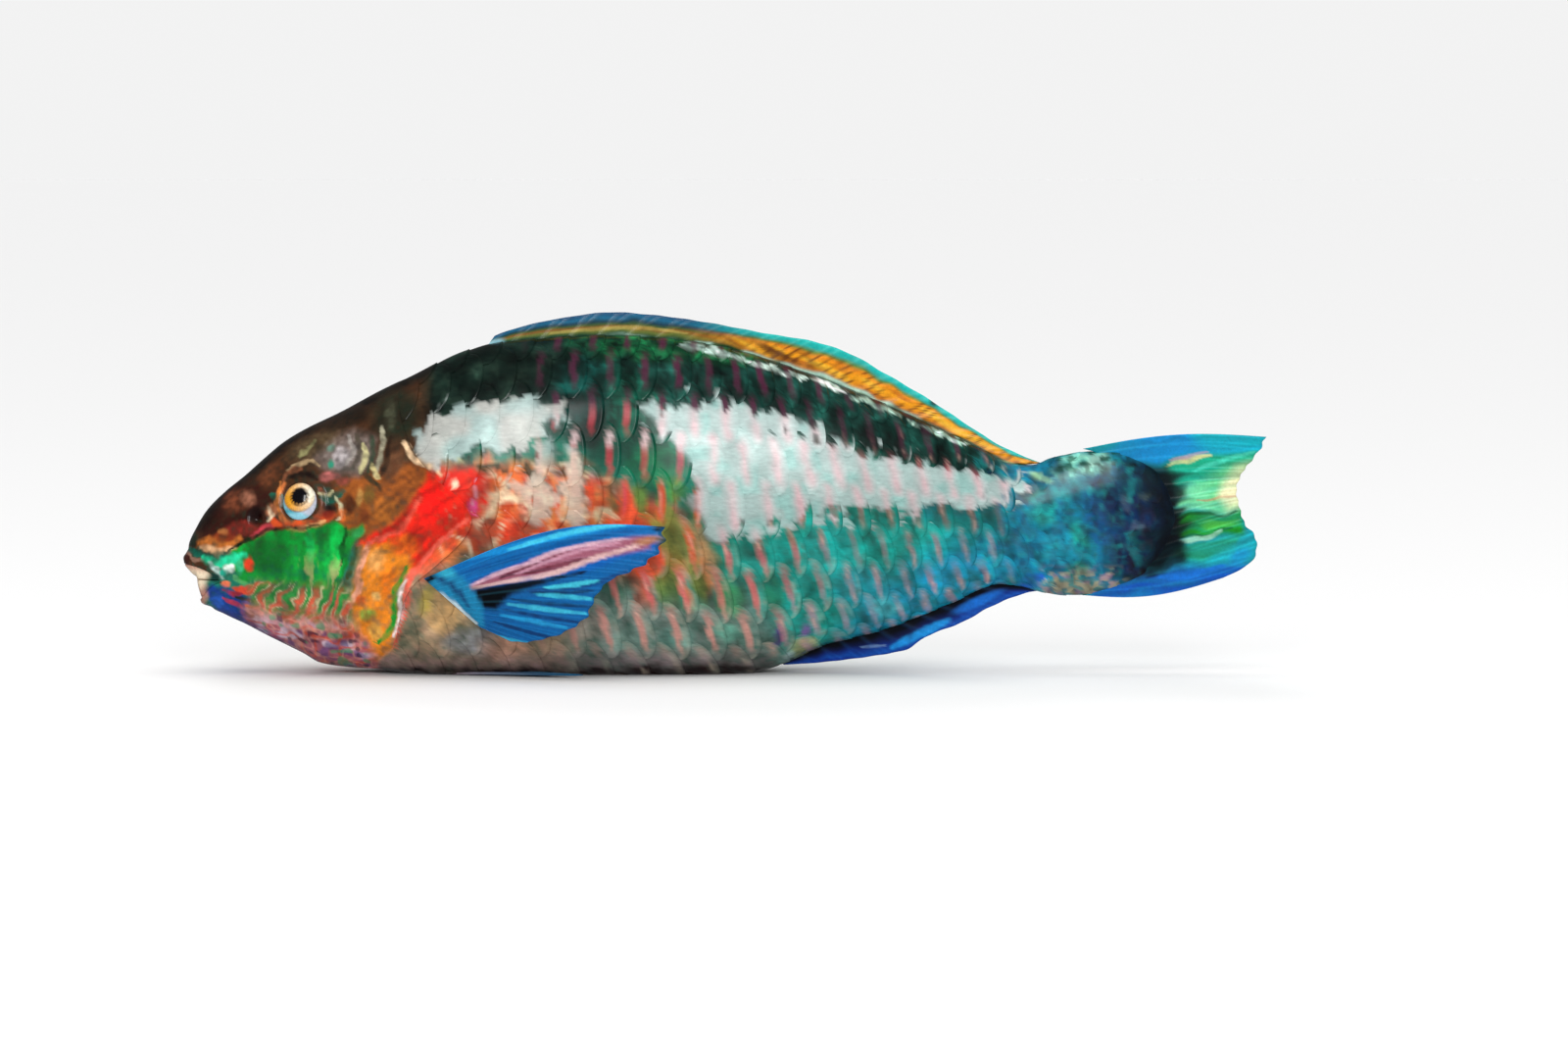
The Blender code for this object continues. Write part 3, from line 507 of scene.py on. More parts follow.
HEAD_MARKS = [
    area("4a2c18", 1.0, 26, "170,600 180,540 240,480 300,430 390,385 430,370 440,480 440,560 "
         "300,560"),
    area("0d0805", 0.95, 16, "186,540 215,496 262,454 305,426 345,404 430,362 440,378 380,410 "
         "330,432 286,462 246,494 222,524 208,548"),
    area("32120c", 0.85, 20, "200,552 212,526 236,500 262,488 282,504 276,528 262,552 232,556"),
    patch("7a4028", 0.8, 240, 512, 18, 13, -35),
    patch("a06850", 0.65, 250, 508, 9, 10, -40),
    patch("8c2a20", 0.75, 246, 540, 22, 8, -8),
    patch("6a3a22", 0.7, 276, 482, 22, 10, -34),
    patch("57462f", 0.8, 320, 454, 34, 13, -26),
    patch("1c1710", 0.75, 352, 428, 30, 10, -24),
    patch("22271a", 0.88, 404, 424, 30, 32),
    patch("5a5c46", 0.5, 398, 424, 8, 16),
    area("98501a", 0.9, 20, "345,492 380,486 430,470 446,492 430,530 400,548 360,546 345,530"),
    patch("5b3a24", 0.85, 402, 470, 14, 26, 12),
    patch("b86a22", 0.7, 396, 520, 18, 14),
    patch("4a2008", 0.85, 358, 514, 7, 12),
    patch("6c5420", 0.75, 378, 505, 7, 10),
    patch("c49a50", 0.6, 368, 508, 4, 10, 10),
    patch("6c3010", 0.7, 374, 526, 6, 8),
    # Painted sheen: a grey-pink patch of wet reflection behind and above the eye, palest in its
    # middle
    area("8c7f78", 0.75, 20, "322,468 338,452 362,440 380,448 380,470 366,484 346,482"),
    patch("d9d0d2", 0.6, 350, 466, 10, 13),
    stroke("b8b0a8", 0.7, 5, "358,444 362,458 356,474"),
    stroke("4c4436", 0.7, 5, "366,442 368,456 362,478"),
    patch("5f8f7c", 0.6, 338, 456, 7, 4, -30),
    patch("2f9072", 0.85, 339, 473, 4, 5),
    patch("b0605c", 0.7, 336, 486, 11, 6),
    patch("a04a40", 0.7, 350, 492, 8, 5),
    stroke("cfc690", 0.85, 7, "371,452 373,466 369,482"),
    stroke("24402c", 0.8, 6, "379,446 381,462 377,482"),
    stroke("a9a48a", 0.8, 6, "389,436 391,456 384,486"),
    stroke("2a1c10", 0.85, 6, "398,446 396,470 390,486"),
    stroke("d2c286", 0.85, 5, "380,474 384,484 388,490"),
    stroke("2d2a18", 0.8, 7, "374,484 382,492 388,500"),
    # Painted sheen: a small olive streak of reflection on the forehead
    stroke("8e8a5c", 0.8, 5, "304,466 312,458 319,448"),
    stroke("b89c74", 0.8, 4.5, "294,480 304,474 316,470 326,474"),
    stroke("8c5438", 0.8, 6, "290,490 296,482 306,478"),
    stroke("1a0d08", 0.95, 5.5, "298,488 306,484 315,484 324,488", soft=0.9),
    stroke("c06c38", 0.9, 7, "291,493 285,503 284,516 290,528 303,534 318,532"),
    stroke("8a4c34", 0.8, 6, "326,498 330,508 329,522 322,530"),
    stroke("1f5a46", 0.95, 7, "275,502 281,506 288,505"),
    stroke("d8803c", 0.85, 5, "286,492 285,500 284,514 287,524"),
    patch("c87a50", 0.8, 278, 520, 7, 8, 20),
    stroke("f0d8b4", 0.75, 5, "274,518 278,526 274,532"),
    stroke("c83c48", 0.9, 9, "258,548 270,541 284,533"),
    stroke("d85020", 0.95, 12, "280,533 296,537 314,537 330,531 340,524"),
    stroke("eeb070", 0.9, 6, "294,538 306,540 322,537 332,531"),
    patch("1c0906", 0.95, 338, 517, 9, 9),
    patch("7a1c0c", 0.8, 336, 525, 7, 5),
    stroke("d8d2a0", 0.9, 4, "326,505 334,508 342,503"),
    stroke("0f5a48", 0.95, 7, "328,509 338,511 346,507 352,501"),
    stroke("dfe0b4", 0.8, 3.5, "344,508 350,515 348,526 343,532"),
    patch("d86828", 0.75, 350, 526, 5, 9),
    # Painted shade: a dark oval over the nostril's pit and round it, larger than the pit
    patch("1e0705", 0.97, 260, 525, 8.5, 10.5, 0, 0.5),
    stroke("c8702c", 0.9, 13, "200,556 214,556 230,558 244,552", soft=1.0),
    patch("8c3418", 0.75, 228, 549, 14, 6),
    patch("c07840", 0.6, 226, 544, 7, 5),
    stroke("ebb98a", 0.95, 7, "202,560 212,561 226,563 238,560", soft=1.0),
    patch("12261c", 0.9, 192, 551, 6, 9),
    patch("8a6a6c", 0.75, 187, 562, 4, 5),
    patch("3c1410", 0.8, 187, 570, 5, 7),
    stroke("94705e", 0.8, 4, "187,564 196,570 206,574"),
    area("028c2e", 1.0, 5, CHEEK_GREEN),
    stroke("011a08", 0.9, 4.5, "228,564 246,555 262,546 280,539 298,538 313,539 326,535"),
    area("015018", 0.6, 16, "256,552 282,547 296,560 292,582 264,588 252,570"),
    patch("00b848", 0.85, 342, 566, 10, 30, 6),
    patch("08a84c", 0.8, 318, 558, 5, 22, -6),
    patch("016028", 0.75, 329, 548, 5, 14),
    stroke("014a14", 0.85, 5, "354,540 352,556 347,576"),
    stroke("3c4a20", 0.85, 6, "366,560 360,576 356,592"),
    patch("2f9a50", 0.8, 366, 544, 5, 8, 30),
    patch("0a4a24", 0.7, 253, 576, 9.5, 12, 0, 0.5),
    patch("d43a18", 1.0, 253, 576, 6.4, 8.8, 0, 0.5),
    stroke("0f5a48", 0.9, 7, "188,560 202,566 216,568 232,564", soft=0.7),
    # Painted highlights on the upper lip: an aqua streak, partly the lip's own colour, and a white
    # glint
    stroke("1fc490", 0.95, 11, "208,571 222,573 236,571 246,567", soft=0.8),
    patch("e4efe4", 0.95, 231, 579, 6, 6, 30),
    stroke("bcd8d0", 0.85, 6, "213,574 219,582 224,590"),
    patch("129a80", 0.85, 225, 584, 4, 6),
    patch("0a3a34", 0.9, 217, 590, 6, 6),
    patch("33b078", 0.8, 243, 580, 5, 10),
    stroke("5fae6a", 0.85, 5, "236,588 244,596 256,598"),
    patch("e0714c", 0.95, 229, 597, 7, 5, 10, 0.4),
    area("0c3a86", 0.97, 8, "204,604 214,598 232,602 256,612 282,634 262,642 222,630"),
    patch("c98c7a", 0.95, 202, 607, 8, 13, 14),
    patch("1a56b4", 0.85, 218, 614, 8, 9),
    stroke("28307c", 0.8, 13, "206,622 236,642 270,658 300,670", soft=0.9),
    stroke("e2472d", 1.0, 9, "240,603 252,602 264,600 272,597"),
    stroke("a02838", 0.9, 5, "226,604 236,608 244,606"),
    stroke("182c2c", 0.9, 4.5, "240,611 254,613 270,609"),
    stroke("e0663c", 0.95, 6, "250,620 262,619 274,613"),
    stroke("b0304c", 0.85, 5, "226,612 234,615 244,620"),
    stroke("1a2c5c", 0.9, 4.5, "262,624 271,621 274,613"),
    patch("e6dce8", 0.9, 338, 642, 6, 13, -8),
    patch("c8505c", 0.8, 350, 640, 5, 12),
    patch("2a9a9c", 0.85, 333, 655, 6, 3.5),
    patch("2a8a3c", 0.85, 350, 606, 6, 12, 20),
    area("df8018", 0.97, 10, "372,556 396,546 428,548 432,572 416,588 408,610 404,640 398,664 "
         "378,676 364,660 356,640 358,612 366,576"),
    stroke("e8a284", 0.9, 7, "378,554 368,578 366,602 354,624 352,646"),
    patch("e8a458", 0.75, 384, 572, 11, 14),
    patch("e25c14", 0.75, 412, 556, 15, 12, -30),
    patch("e0700c", 0.8, 398, 594, 8, 18),
    patch("879c3c", 0.85, 375, 628, 9, 8),
    patch("e0622c", 0.8, 370, 612, 7, 6),
    patch("e6c070", 0.75, 386, 608, 6, 5),
    patch("d8a84c", 0.7, 384, 646, 9, 12),
    patch("e8633c", 0.7, 362, 646, 6, 8),
    patch("c8787c", 0.6, 356, 664, 10, 8),
    area("e6200c", 0.98, 9, "368,556 384,544 408,528 428,506 438,484 474,478 500,482 500,520 "
         "476,536 452,552 436,572 424,586 420,566 404,552 386,556"),
    patch("f00e06", 0.85, 444, 512, 18, 26, 30),
    patch("e86a10", 0.8, 416, 554, 10, 14, -30),
    stroke("f2604a", 0.8, 6, "376,556 398,546 418,528 432,510"),
    stroke("f4604c", 0.95, 6, "478,530 458,546 438,566 422,584 417,600 414,620 408,640 "
           "402,660", soft=0.7),
    stroke("ecdcd8", 0.95, 5, "416,592 410,608 408,628 401,648"),
    stroke("1a8c28", 1.0, 6.5, "416,580 407,600 403,620 398,642 386,658"),
    patch("f052a0", 0.95, 484, 517, 5.5, 10, 4, 0.6),
    stroke("f0a8b8", 0.8, 4, "485,492 487,504 485,512"),
    stroke("f2cda2", 0.95, 6, "414,450 424,466 440,476 452,484"),
    patch("f6d8b8", 0.95, 466, 494, 6, 4.5),
    patch("dfe0a0", 0.85, 471, 471, 4, 4),
]

# Where the flank's scales are silvery, partly their own silver and partly painted glare, as a
# number from 0 to 1
SILVER_GLARE_MARKS = [
    area(0.9, 1.0, 7, "422,451 436,436 450,425 470,415 490,410 512,405 538,404 556,410 566,421 "
         "556,432 545,446 536,458 524,466 508,464 496,455 484,455 472,463 460,474 447,481 436,474"),
    patch(0.65, 1.0, 573, 424, 9, 15, 10, 0.4),
    area(0.6, 1.0, 7, "560,440 567,450 566,478 556,492 546,478 550,456"),
    area(0.75, 1.0, 7, "576,470 588,462 597,490 596,526 584,530 573,510"),
    area(0.75, 1.0, 8, "520,492 548,486 568,498 566,526 548,530 530,508"),
    area(0.95, 1.0, 7, "650,414 672,414 690,407 708,403 750,408 800,426 843,443 887,458 939,464 "
         "968,474 1015,480 1056,484 1048,496 1024,510 983,516 939,519 900,524 843,527 800,534 "
         "765,545 744,556 726,550 716,528 709,510 710,486 700,464 683,440 664,428"),
    patch(0.5, 1.0, 710, 518, 9, 7, 20, 0.6),
]

# The bars on the scales
BAR_MARKS = [
    area("521a38", 1.0, 16, "380,300 1080,300 1080,496 900,462 800,448 700,424 640,412 380,440"),
    area("c02038", 1.0, 16, "560,428 700,428 712,482 560,490"),
    patch("c8285c", 0.9, 686, 466, 14, 22),
    patch("d03a4c", 0.8, 610, 460, 14, 20),
    area("e0401c", 1.0, 16, "420,484 720,484 724,590 640,600 420,590"),
    patch("d8485c", 0.9, 632, 508, 10, 24),
    patch("e84a30", 0.9, 697, 560, 18, 26),
    area("dc6a68", 1.0, 20, "560,586 740,570 800,620 800,690 560,690"),
    area("c89084", 0.9, 20, "520,622 760,622 800,640 800,700 520,700"),
    patch("b04450", 0.8, 800, 605, 30, 24),
    area("8c5444", 1.0, 16, "760,532 900,520 1060,500 1060,540 900,550 760,560"),
    area("94707c", 1.0, 18, "830,550 1080,530 1080,640 850,660"),
    area("b090a4", 0.9, 24, "800,610 960,590 960,640 800,680"),
]


def cheek_and_throat(colours, at, points):
    """Streaks in the green cheek, the comb of fingers below it and the maze of the throat."""
    x, y = at.T
    green = ease(area_depth(at, CHEEK_GREEN), -2.0, 3.0)
    colours = colours * (1 + green * (1.1 * streaks(at, 84.0, 42.0, 7.0, 21.0) - 0.45))[:, None]
    lower = green * ease(y, 558.0, 590.0) * ease(x, 286.0, 306.0)
    fine = streaks(at, 97.0, 22.0, 3.4, 22.0)
    colours = blend(colours, "b9b878", 0.75 * lower * ease(fine, 0.62, 0.74))
    # The comb: fingers of green, orange and cream that lean down to the left
    comb = ease(y, 588.0, 604.0) * (1 - ease(y, 630.0, 658.0))
    comb *= ease(x, 246.0, 266.0) * (1 - ease(x, 352.0, 364.0))
    place = x + 0.46 * (y - 600.0) + 24.0 * (noise(points, 5.0, 23.0) - 0.5)
    wave = np.sin(place * 2 * math.pi / 15.5) + 0.9 * (noise(points, 1.8, 40.0) - 0.5)
    pale = bump(wave + 0.05, 0.30) * ease(noise(points, 3.2, 24.0), 0.40, 0.60)
    for word, weight in (
        ("6c6434", 0.7),
        ("b87458", 0.6 * ease(y, 604.0, 624.0)),
        ("2c8a3c", ease(wave, 0.15, 0.6) * (1 - ease(y, 616.0, 652.0))),
        ("8a4c28", 0.6 * ease(-wave, 0.45, 0.9) * (1 - ease(y, 600.0, 612.0))),
        ("d8583a", 0.9 * ease(-wave, 0.35, 0.85) * ease(y, 596.0, 616.0)),
        ("d8cf9c", 0.75 * pale),
    ):
        colours = blend(colours, word, weight * comb)
    # The maze: red and orange lines, lavender patches and dark spots on rose
    depth = y - 0.14 * (x - 270.0)
    maze = ease(area_depth(at, THROAT), -6.0, 10.0) * ease(depth, 608.0, 636.0)
    deep = ease(depth, 622.0, 648.0)
    for word, weight in (
        ("a4603e", 0.8),
        ("b0607c", 0.7 * deep),
        ("d8c4d4", (0.2 + 0.65 * deep) * ease(noise(points, 4.8, 25.0), 0.56, 0.70)),
        ("4a3f84", 0.6 * deep * ease(noise(points, 4.0, 26.0), 0.62, 0.74)),
        ("d2502f", 0.85 * lines(noise(points, 4.6, 27.0), 0.085)),
        ("e4a08c", 0.6 * lines(noise(points, 3.6, 28.0), 0.06)),
        ("2a1838", 0.75 * ease(noise(points, 2.6, 29.0), 0.72, 0.82)),
        ("3f9a6c", 0.65 * ease(noise(points, 3.2, 30.0), 0.68, 0.78)),
    ):
        colours = blend(colours, word, weight * maze)
    chin = bump(y - 628.0 - 0.5 * (x - 220.0), 9.0) * (1 - ease(x, 270.0, 300.0))
    return blend(colours, "30307c", 0.75 * chin * ease(y, 612.0, 630.0))


def flame(colours, at, points):
    """Behind the gill cover the red breaks up into cream curls, crimson and dark flecks."""
    zone = area_depth(at, "446,470 500,462 600,470 640,500 640,540 540,552 446,590")
    zone = ease(zone, -6.0, 16.0)
    colours = blend(colours, "f09048", 0.7 * zone * ease(noise(points, 6.0, 41.0), 0.5, 0.68))
    colours = blend(colours, "c02410", 0.7 * zone * ease(noise(points, 3.8, 42.0), 0.60, 0.70))
    curls = lines(noise(points, 5.2, 43.0), 0.05) * ease(noise(points, 7.0, 44.0), 0.35, 0.55)
    colours = blend(colours, "f6dcb4", 0.9 * zone * curls)
    behind = area_depth(at, "590,500 660,492 728,520 738,620 640,620 590,560")
    behind = ease(behind, -8.0, 20.0)
    stripes = streaks(at, 76.0, 60.0, 13.0, 46.0)
    colours = blend(colours, "5f8238", 0.85 * behind * ease(stripes, 0.46, 0.62))
    colours = blend(colours, "e0502c", 0.7 * behind * ease(-stripes, -0.36, -0.26))
    upper = ease(area_depth(at, "470,450 560,452 600,480 560,500 470,476"), -4.0, 8.0)
    return blend(colours, "20321c", 0.85 * upper * ease(noise(points, 2.6, 45.0), 0.60, 0.68))


def mottle(colours, at, points):
    """Flecks over the stalk, with olive and pink specks along its upper and lower edges."""
    x, y = at.T

    def flecks(size, shift, low, high):
        return ease(noise(points, size, shift), low, high)

    turquoise = 0.6 * noise(points, 3.4, 55.0) + 0.4 * noise(points, 1.5, 63.0)
    turquoise = ease(turquoise, 0.46, 0.74) * (1 - ease(x, 1150.0, 1180.0))
    colours = blend(colours, "12a8a4", 0.4 * turquoise)
    dark = 0.6 * noise(points, 3.0, 56.0) + 0.4 * noise(points, 1.4, 64.0)
    colours = blend(colours, "04305c", 0.5 * ease(dark, 0.48, 0.72))
    front = 1 - ease(x, 1140.0, 1160.0)
    under = ease(y, 574.0, 590.0) * ease(x, 1056.0, 1076.0) * front
    colours = blend(colours, "a89c7c", 0.75 * under * flecks(1.9, 57.0, 0.50, 0.62))
    colours = blend(colours, "98708c", 0.55 * under * flecks(2.1, 58.0, 0.62, 0.72))
    above = (1 - ease(y, 474.0, 492.0)) * ease(x, 1060.0, 1080.0) * front
    colours = blend(colours, "0b4a38", 0.8 * above * flecks(2.0, 59.0, 0.56, 0.66))
    end = ease(x + 26.0 * (noise(points, 4.0, 71.0) - 0.5), 1156.0, 1192.0)
    return blend(colours, "030c18", 0.85 * end * ease(y, 468.0, 486.0))


def body_colours(points):
    """Markings of skin and scales alike."""
    at = seen(points)
    rough = np.stack([
        noise(points, 5.0, k) + 0.5 * noise(points, 2.2, k + 2.0)
        + 0.3 * noise(points, 1.1, k + 30.0) for k in (1.0, 2.0)
    ], axis=-1) - 0.9
    warped = at + rough * 8.0
    top = PIXEL_Y0 - curve(TOP, points[:, 0]) / PIXEL
    low = PIXEL_Y0 - np.maximum(curve(BELLY, points[:, 0]), 0) / PIXEL
    height = (low - warped[:, 1]) / np.maximum(low - top, 1.0)
    cloud = noise(points, 5.5, 5.0) - 0.5
    speck = noise(points, 1.5, 6.0) - 0.5
    colours = blend(plain(points, "127a62"), "06312a", ease(height, 0.62, 0.84))
    uneven = 1 + 0.5 * cloud + 0.7 * speck
    colours = painted(colours, warped, TRUNK_MARKS, uneven)
    colours = flame(colours, warped, points)
    dark = ease(height, 0.60, 0.80) * (points[:, 0] > -115.0)
    colours *= np.exp(dark * (2.2 * cloud + 1.2 * speck - 0.42))[:, None]
    stalk = points[:, 0] > 92.0
    made = painted(colours[stalk], warped[stalk], STALK_MARKS, uneven[stalk])
    colours[stalk] = mottle(made, at[stalk], points[stalk])
    head = points[:, 0] < -80.0
    gentle = at[head] + rough[head] * 5.0
    uneven = 1 + 0.35 * cloud[head] + 0.9 * speck[head]
    made = painted(colours[head], gentle, HEAD_MARKS, uneven)
    made = cheek_and_throat(made, gentle, points[head])
    # Fine streaks along the red sweep of the gill cover
    sweep = (streaks(gentle, -38.0, 40.0, 4.5, 33.0) - 0.5) * ease(gentle[:, 0], 340.0, 380.0)
    colours[head] = made * (0.9 + 0.8 * sweep)[:, None]
    return np.clip(colours * (1 + 0.7 * cloud + 0.5 * speck)[:, None], 0.0, 1.0)


# ---- Meshes


def linked(name, data):
    obj = bpy.data.objects.new(name, data)
    bpy.context.scene.collection.objects.link(obj)
    return obj


def put(name, vertices, faces, smooth=True):
    mesh = bpy.data.meshes.new(name)
    mesh.from_pydata((np.asarray(vertices, float) * MM).tolist(), [], faces)
    mesh.validate()
    if smooth:
        mesh.shade_smooth()
    return linked(name, mesh)


def set_colours(obj, colours):
    layer = obj.data.attributes.new("paint", "FLOAT_COLOR", "POINT")
    full = np.ones((len(obj.data.vertices), 4), np.float32)
    full[:, :3] = colours
    layer.data.foreach_set("color", full.ravel())


def mesh_points(obj):
    points = np.zeros(len(obj.data.vertices) * 3)
    obj.data.vertices.foreach_get("co", points)
    return points.reshape(-1, 3) / MM


def cleaned(obj):
    work = bmesh.new()
    work.from_mesh(obj.data)
    bmesh.ops.remove_doubles(work, verts=work.verts, dist=1e-7)
    bmesh.ops.recalc_face_normals(work, faces=work.faces)
    work.to_mesh(obj.data)
    work.free()
    return obj


def boolean(obj, operation, *others):
    for other in others:
        modifier = obj.modifiers.new("boolean", "BOOLEAN")
        modifier.operation, modifier.solver, modifier.object = operation, "MANIFOLD", other
        graph = bpy.context.evaluated_depsgraph_get()
        mesh = bpy.data.meshes.new_from_object(obj.evaluated_get(graph))
        obj.modifiers.remove(modifier)
        obj.data = mesh
        bpy.data.objects.remove(other, do_unlink=True)


def smoothed(obj, sharp_degrees):
    obj.data.shade_smooth()
    obj.data.set_sharp_from_angle(angle=math.radians(sharp_degrees))


def capped_tube(name, grid):
    """A closed body from rings of points, with a fan of faces over each end."""
    rings, around = grid.shape[:2]
    vertices = [*grid.reshape(-1, 3), grid[0].mean(axis=0), grid[-1].mean(axis=0)]
    first, last, offset = rings * around, rings * around + 1, (rings - 1) * around
    turns = [(j, (j + 1) % around) for j in range(around)]
    faces = [(i + j, i + k, i + around + k, i + around + j)
             for i in range(0, offset, around) for j, k in turns]
    faces += [(first, k, j) for j, k in turns]
    faces += [(last, offset + j, offset + k) for j, k in turns]
    return cleaned(put(name, vertices, faces))


def prism(name, outline):
    """A closed outline in the side view, drawn out far past both flanks."""
    n = len(outline)
    vertices = [(x, y, z) for y in (-30.0, 30.0) for x, z in outline]
    faces = [tuple(range(n)), tuple(range(2 * n - 1, n - 1, -1))]
    faces += [(i, (i + 1) % n, n + (i + 1) % n, n + i) for i in range(n)]
    return cleaned(put(name, vertices, faces, False))


def lip_wedge(inset):
    """The mouth's opening, from in front of the snout to the corner."""
    upper = smooth_path(UPPER_LIP, 5)[:-1] - np.array([0.0, inset])
    lower = smooth_path(LOWER_LIP, 5)[:-1] + np.array([0.0, inset])
    corner = np.array(MOUTH_CORNER) - np.array([inset * 3, 0.0])
    return prism("wedge", [*upper, corner, *lower[::-1]])


def eye_frame(side):
    """The eye's middle, and unit vectors along the flank, up it and out of it."""
    x, z = EYE
    along = np.array([4.0, side * (flank_width(x + 2, z) - flank_width(x - 2, z)), 0.0])
    up = np.array([0.0, side * (flank_width(x, z + 2) - flank_width(x, z - 2)), 4.0])
    outward = np.cross(along, up)
    outward = outward / np.linalg.norm(outward) * (1 if outward[1] * side > 0 else -1)
    along = along / np.linalg.norm(along)
    up = np.cross(outward, along)
    up = up * np.sign(up[2])
    return np.array([x, side * flank_width(x, z), z]) - outward * EYE_SUNK, along, up, outward


def eye_solid(name, side, grow=0.0):
    centre, *axes = eye_frame(side)
    radii = (EYE_RADIUS + grow, EYE_RADIUS + 0.5 + grow, EYE_DEPTH_RADIUS + grow)
    work = bmesh.new()
    bmesh.ops.create_uvsphere(work, u_segments=64, v_segments=40, radius=1.0)
    local = np.array([v.co[:] for v in work.verts])
    faces = [tuple(v.index for v in f.verts) for f in work.faces]
    work.free()
    vertices = centre + sum(local[:, k:k + 1] * radii[k] * axes[k] for k in range(3))
    return cleaned(put(name, vertices, faces))


# ---- Materials


def material(name, base, roughness, specular, coat=0.0, coat_roughness=0.05):
    made = bpy.data.materials.new(name)
    made.use_nodes = True
    shader = made.node_tree.nodes["Principled BSDF"]
    shader.inputs["Base Color"].default_value = (*base, 1.0)
    shader.inputs["Roughness"].default_value = roughness
    shader.inputs["Specular IOR Level"].default_value = specular
    shader.inputs["Coat Weight"].default_value = coat
    shader.inputs["Coat Roughness"].default_value = coat_roughness
    return made, shader


def node(tree, kind, sockets=(), **settings):
    """The outputs of a new shader node; each socket takes a number or another node's output."""
    made = tree.nodes.new("ShaderNode" + kind)
    for key, value in settings.items():
        setattr(made, key, value)
    for key, value in dict(sockets).items():
        if isinstance(value, bpy.types.NodeSocket):
            tree.links.new(value, made.inputs[key])
        else:
            made.inputs[key].default_value = value
    return made.outputs


def painted_skin(name, roughness, coat, coat_roughness, grain, depth, stretch=(1, 1, 1)):
    """Wet skin: the mesh's paint broken up by fine noise, and a fine grain in its surface."""
    made, shader = material(name, (0.2, 0.3, 0.3), roughness, 0.15, coat, coat_roughness)
    tree = made.node_tree
    place = node(tree, "TexCoord")["Object"]
    mapped = node(tree, "Mapping", {"Vector": place, "Scale": stretch})["Vector"]

    def fine_noise(vector, scale, detail, rough):
        sockets = {"Vector": vector, "Scale": scale, "Detail": detail, "Roughness": rough}
        return node(tree, "TexNoise", sockets)["Fac"]

    def from_to(value, low, high, from_low=0.0, from_high=1.0):
        return node(tree, "MapRange", {
            "Value": value, "From Min": from_low, "From Max": from_high,
            "To Min": low, "To Max": high,
        })["Result"]

    paint = node(tree, "Attribute", attribute_name="paint")["Color"]
    speckle = from_to(fine_noise(mapped, 900.0, 3.0, 0.6), 0.72, 1.28)
    mix = node(tree, "Mix", {"Factor": 1.0, 6: paint, 7: speckle}, data_type="RGBA",
               blend_type="MULTIPLY")
    wet = fine_noise(place, 120.0, 2.0, 0.5)
    sheen = from_to(wet, roughness * 0.75, roughness * 1.35, 0.3, 0.7)
    height = fine_noise(mapped, grain, 3.0, 0.55)
    raised = node(tree, "Bump", {"Height": height, "Strength": 1.0, "Distance": depth})
    tree.links.new(mix[2], shader.inputs["Base Color"])
    tree.links.new(sheen, shader.inputs["Roughness"])
    tree.links.new(raised["Normal"], shader.inputs["Normal"])
    return made


SKIN_LOOK = painted_skin("wet_skin", 0.4, 0.6, 0.10, 700.0, 0.0001)
SCALE_LOOK = painted_skin("wet_scale", 0.4, 0.5, 0.14, 1100.0, 0.00005, (0.35, 1, 1.2))
FIN_LOOK = painted_skin("wet_membrane", 0.4, 0.3, 0.16, 900.0, 0.00004)
EYE_LOOK = painted_skin("wet_eye", 0.2, 1.0, 0.02, 1500.0, 0.00001)
BEAK_LOOK = painted_skin("beak_enamel", 0.28, 0.6, 0.06, 1300.0, 0.00004)
SCALE_TREE = SCALE_LOOK.node_tree
SCALE_TREE.links.new(node(SCALE_TREE, "Attribute", attribute_name="silver_glare")["Fac"],
                     SCALE_TREE.nodes["Principled BSDF"].inputs["Metallic"])


def finish(obj, look, slot, *nodes):
    obj.data.materials.clear()
    obj.data.materials.append(look)
    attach(obj, "root")
    if nodes:
        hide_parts(*nodes)


# ---- One skin over head, trunk and tail stalk

SCALE_SINK = 0.5


def skin_stations():
    finer = 1
    spans = ((SNOUT_X, -194.0, 0.3 * finer), (-194.0, GILL_MIDDLE, 0.5 * finer))
    made = [np.arange(low, high - step * 0.4, step) for low, high, step in spans]
    behind = GILL_MIDDLE + np.array([0.0, 0.1, 0.5, 1.2, 2.2])
    made += [behind, np.arange(GILL_MIDDLE + 3.6, TONGUE_X - 1.0, 2.0), [TONGUE_X]]
    return np.concatenate(made)


def make_skin():
    """Its rings bend with the gill cover's edge; behind it the skin is sunk under the scales."""
    around = 380
    shares = (np.arange(around) + 0.5) / around
    s, share = np.meshgrid(skin_stations(), shares, indexing="ij")
    behind = s - GILL_MIDDLE
    pull = 1 - ease(np.abs(behind), 0.0, 50.0)
    x = s
    for _ in range(4):
        x = s + (gill_x(on_body(x, share)[..., 2]) - GILL_MIDDLE) * pull
    x = np.clip(x, SNOUT_X, TONGUE_X)
    base = on_body(x, share)
    nape = ease(base[..., 2], 84.0, 106.0)
    slit = 0.9 * bump(behind - 0.5, 0.5) * (behind > 0.05) * (1 - nape)
    sunk = -SCALE_SINK * ease(behind, -0.02, 0.1 + 9.0 * nape) - slit
    relief = head_relief(x, base[..., 2]).reshape(x.shape)
    height = np.where(behind > 0.02, sunk, relief)
    grid = base + body_normal(x, share) * height[..., None]
    grid[..., 2] = np.maximum(grid[..., 2], 0.0)
    skin = capped_tube("skin", grid)
    boolean(skin, "DIFFERENCE", lip_wedge(0.0), *(eye_solid("socket", k, GAP * 0.5) for k in SIDES))
    smoothed(skin, 50)
    set_colours(skin, body_colours(mesh_points(skin)))
    finish(skin, SKIN_LOOK, "head_skin", "head", "trunk", "tail_stalk")


# ---- Scales: curved plates in staggered rows, each rising from its root to its free rear edge

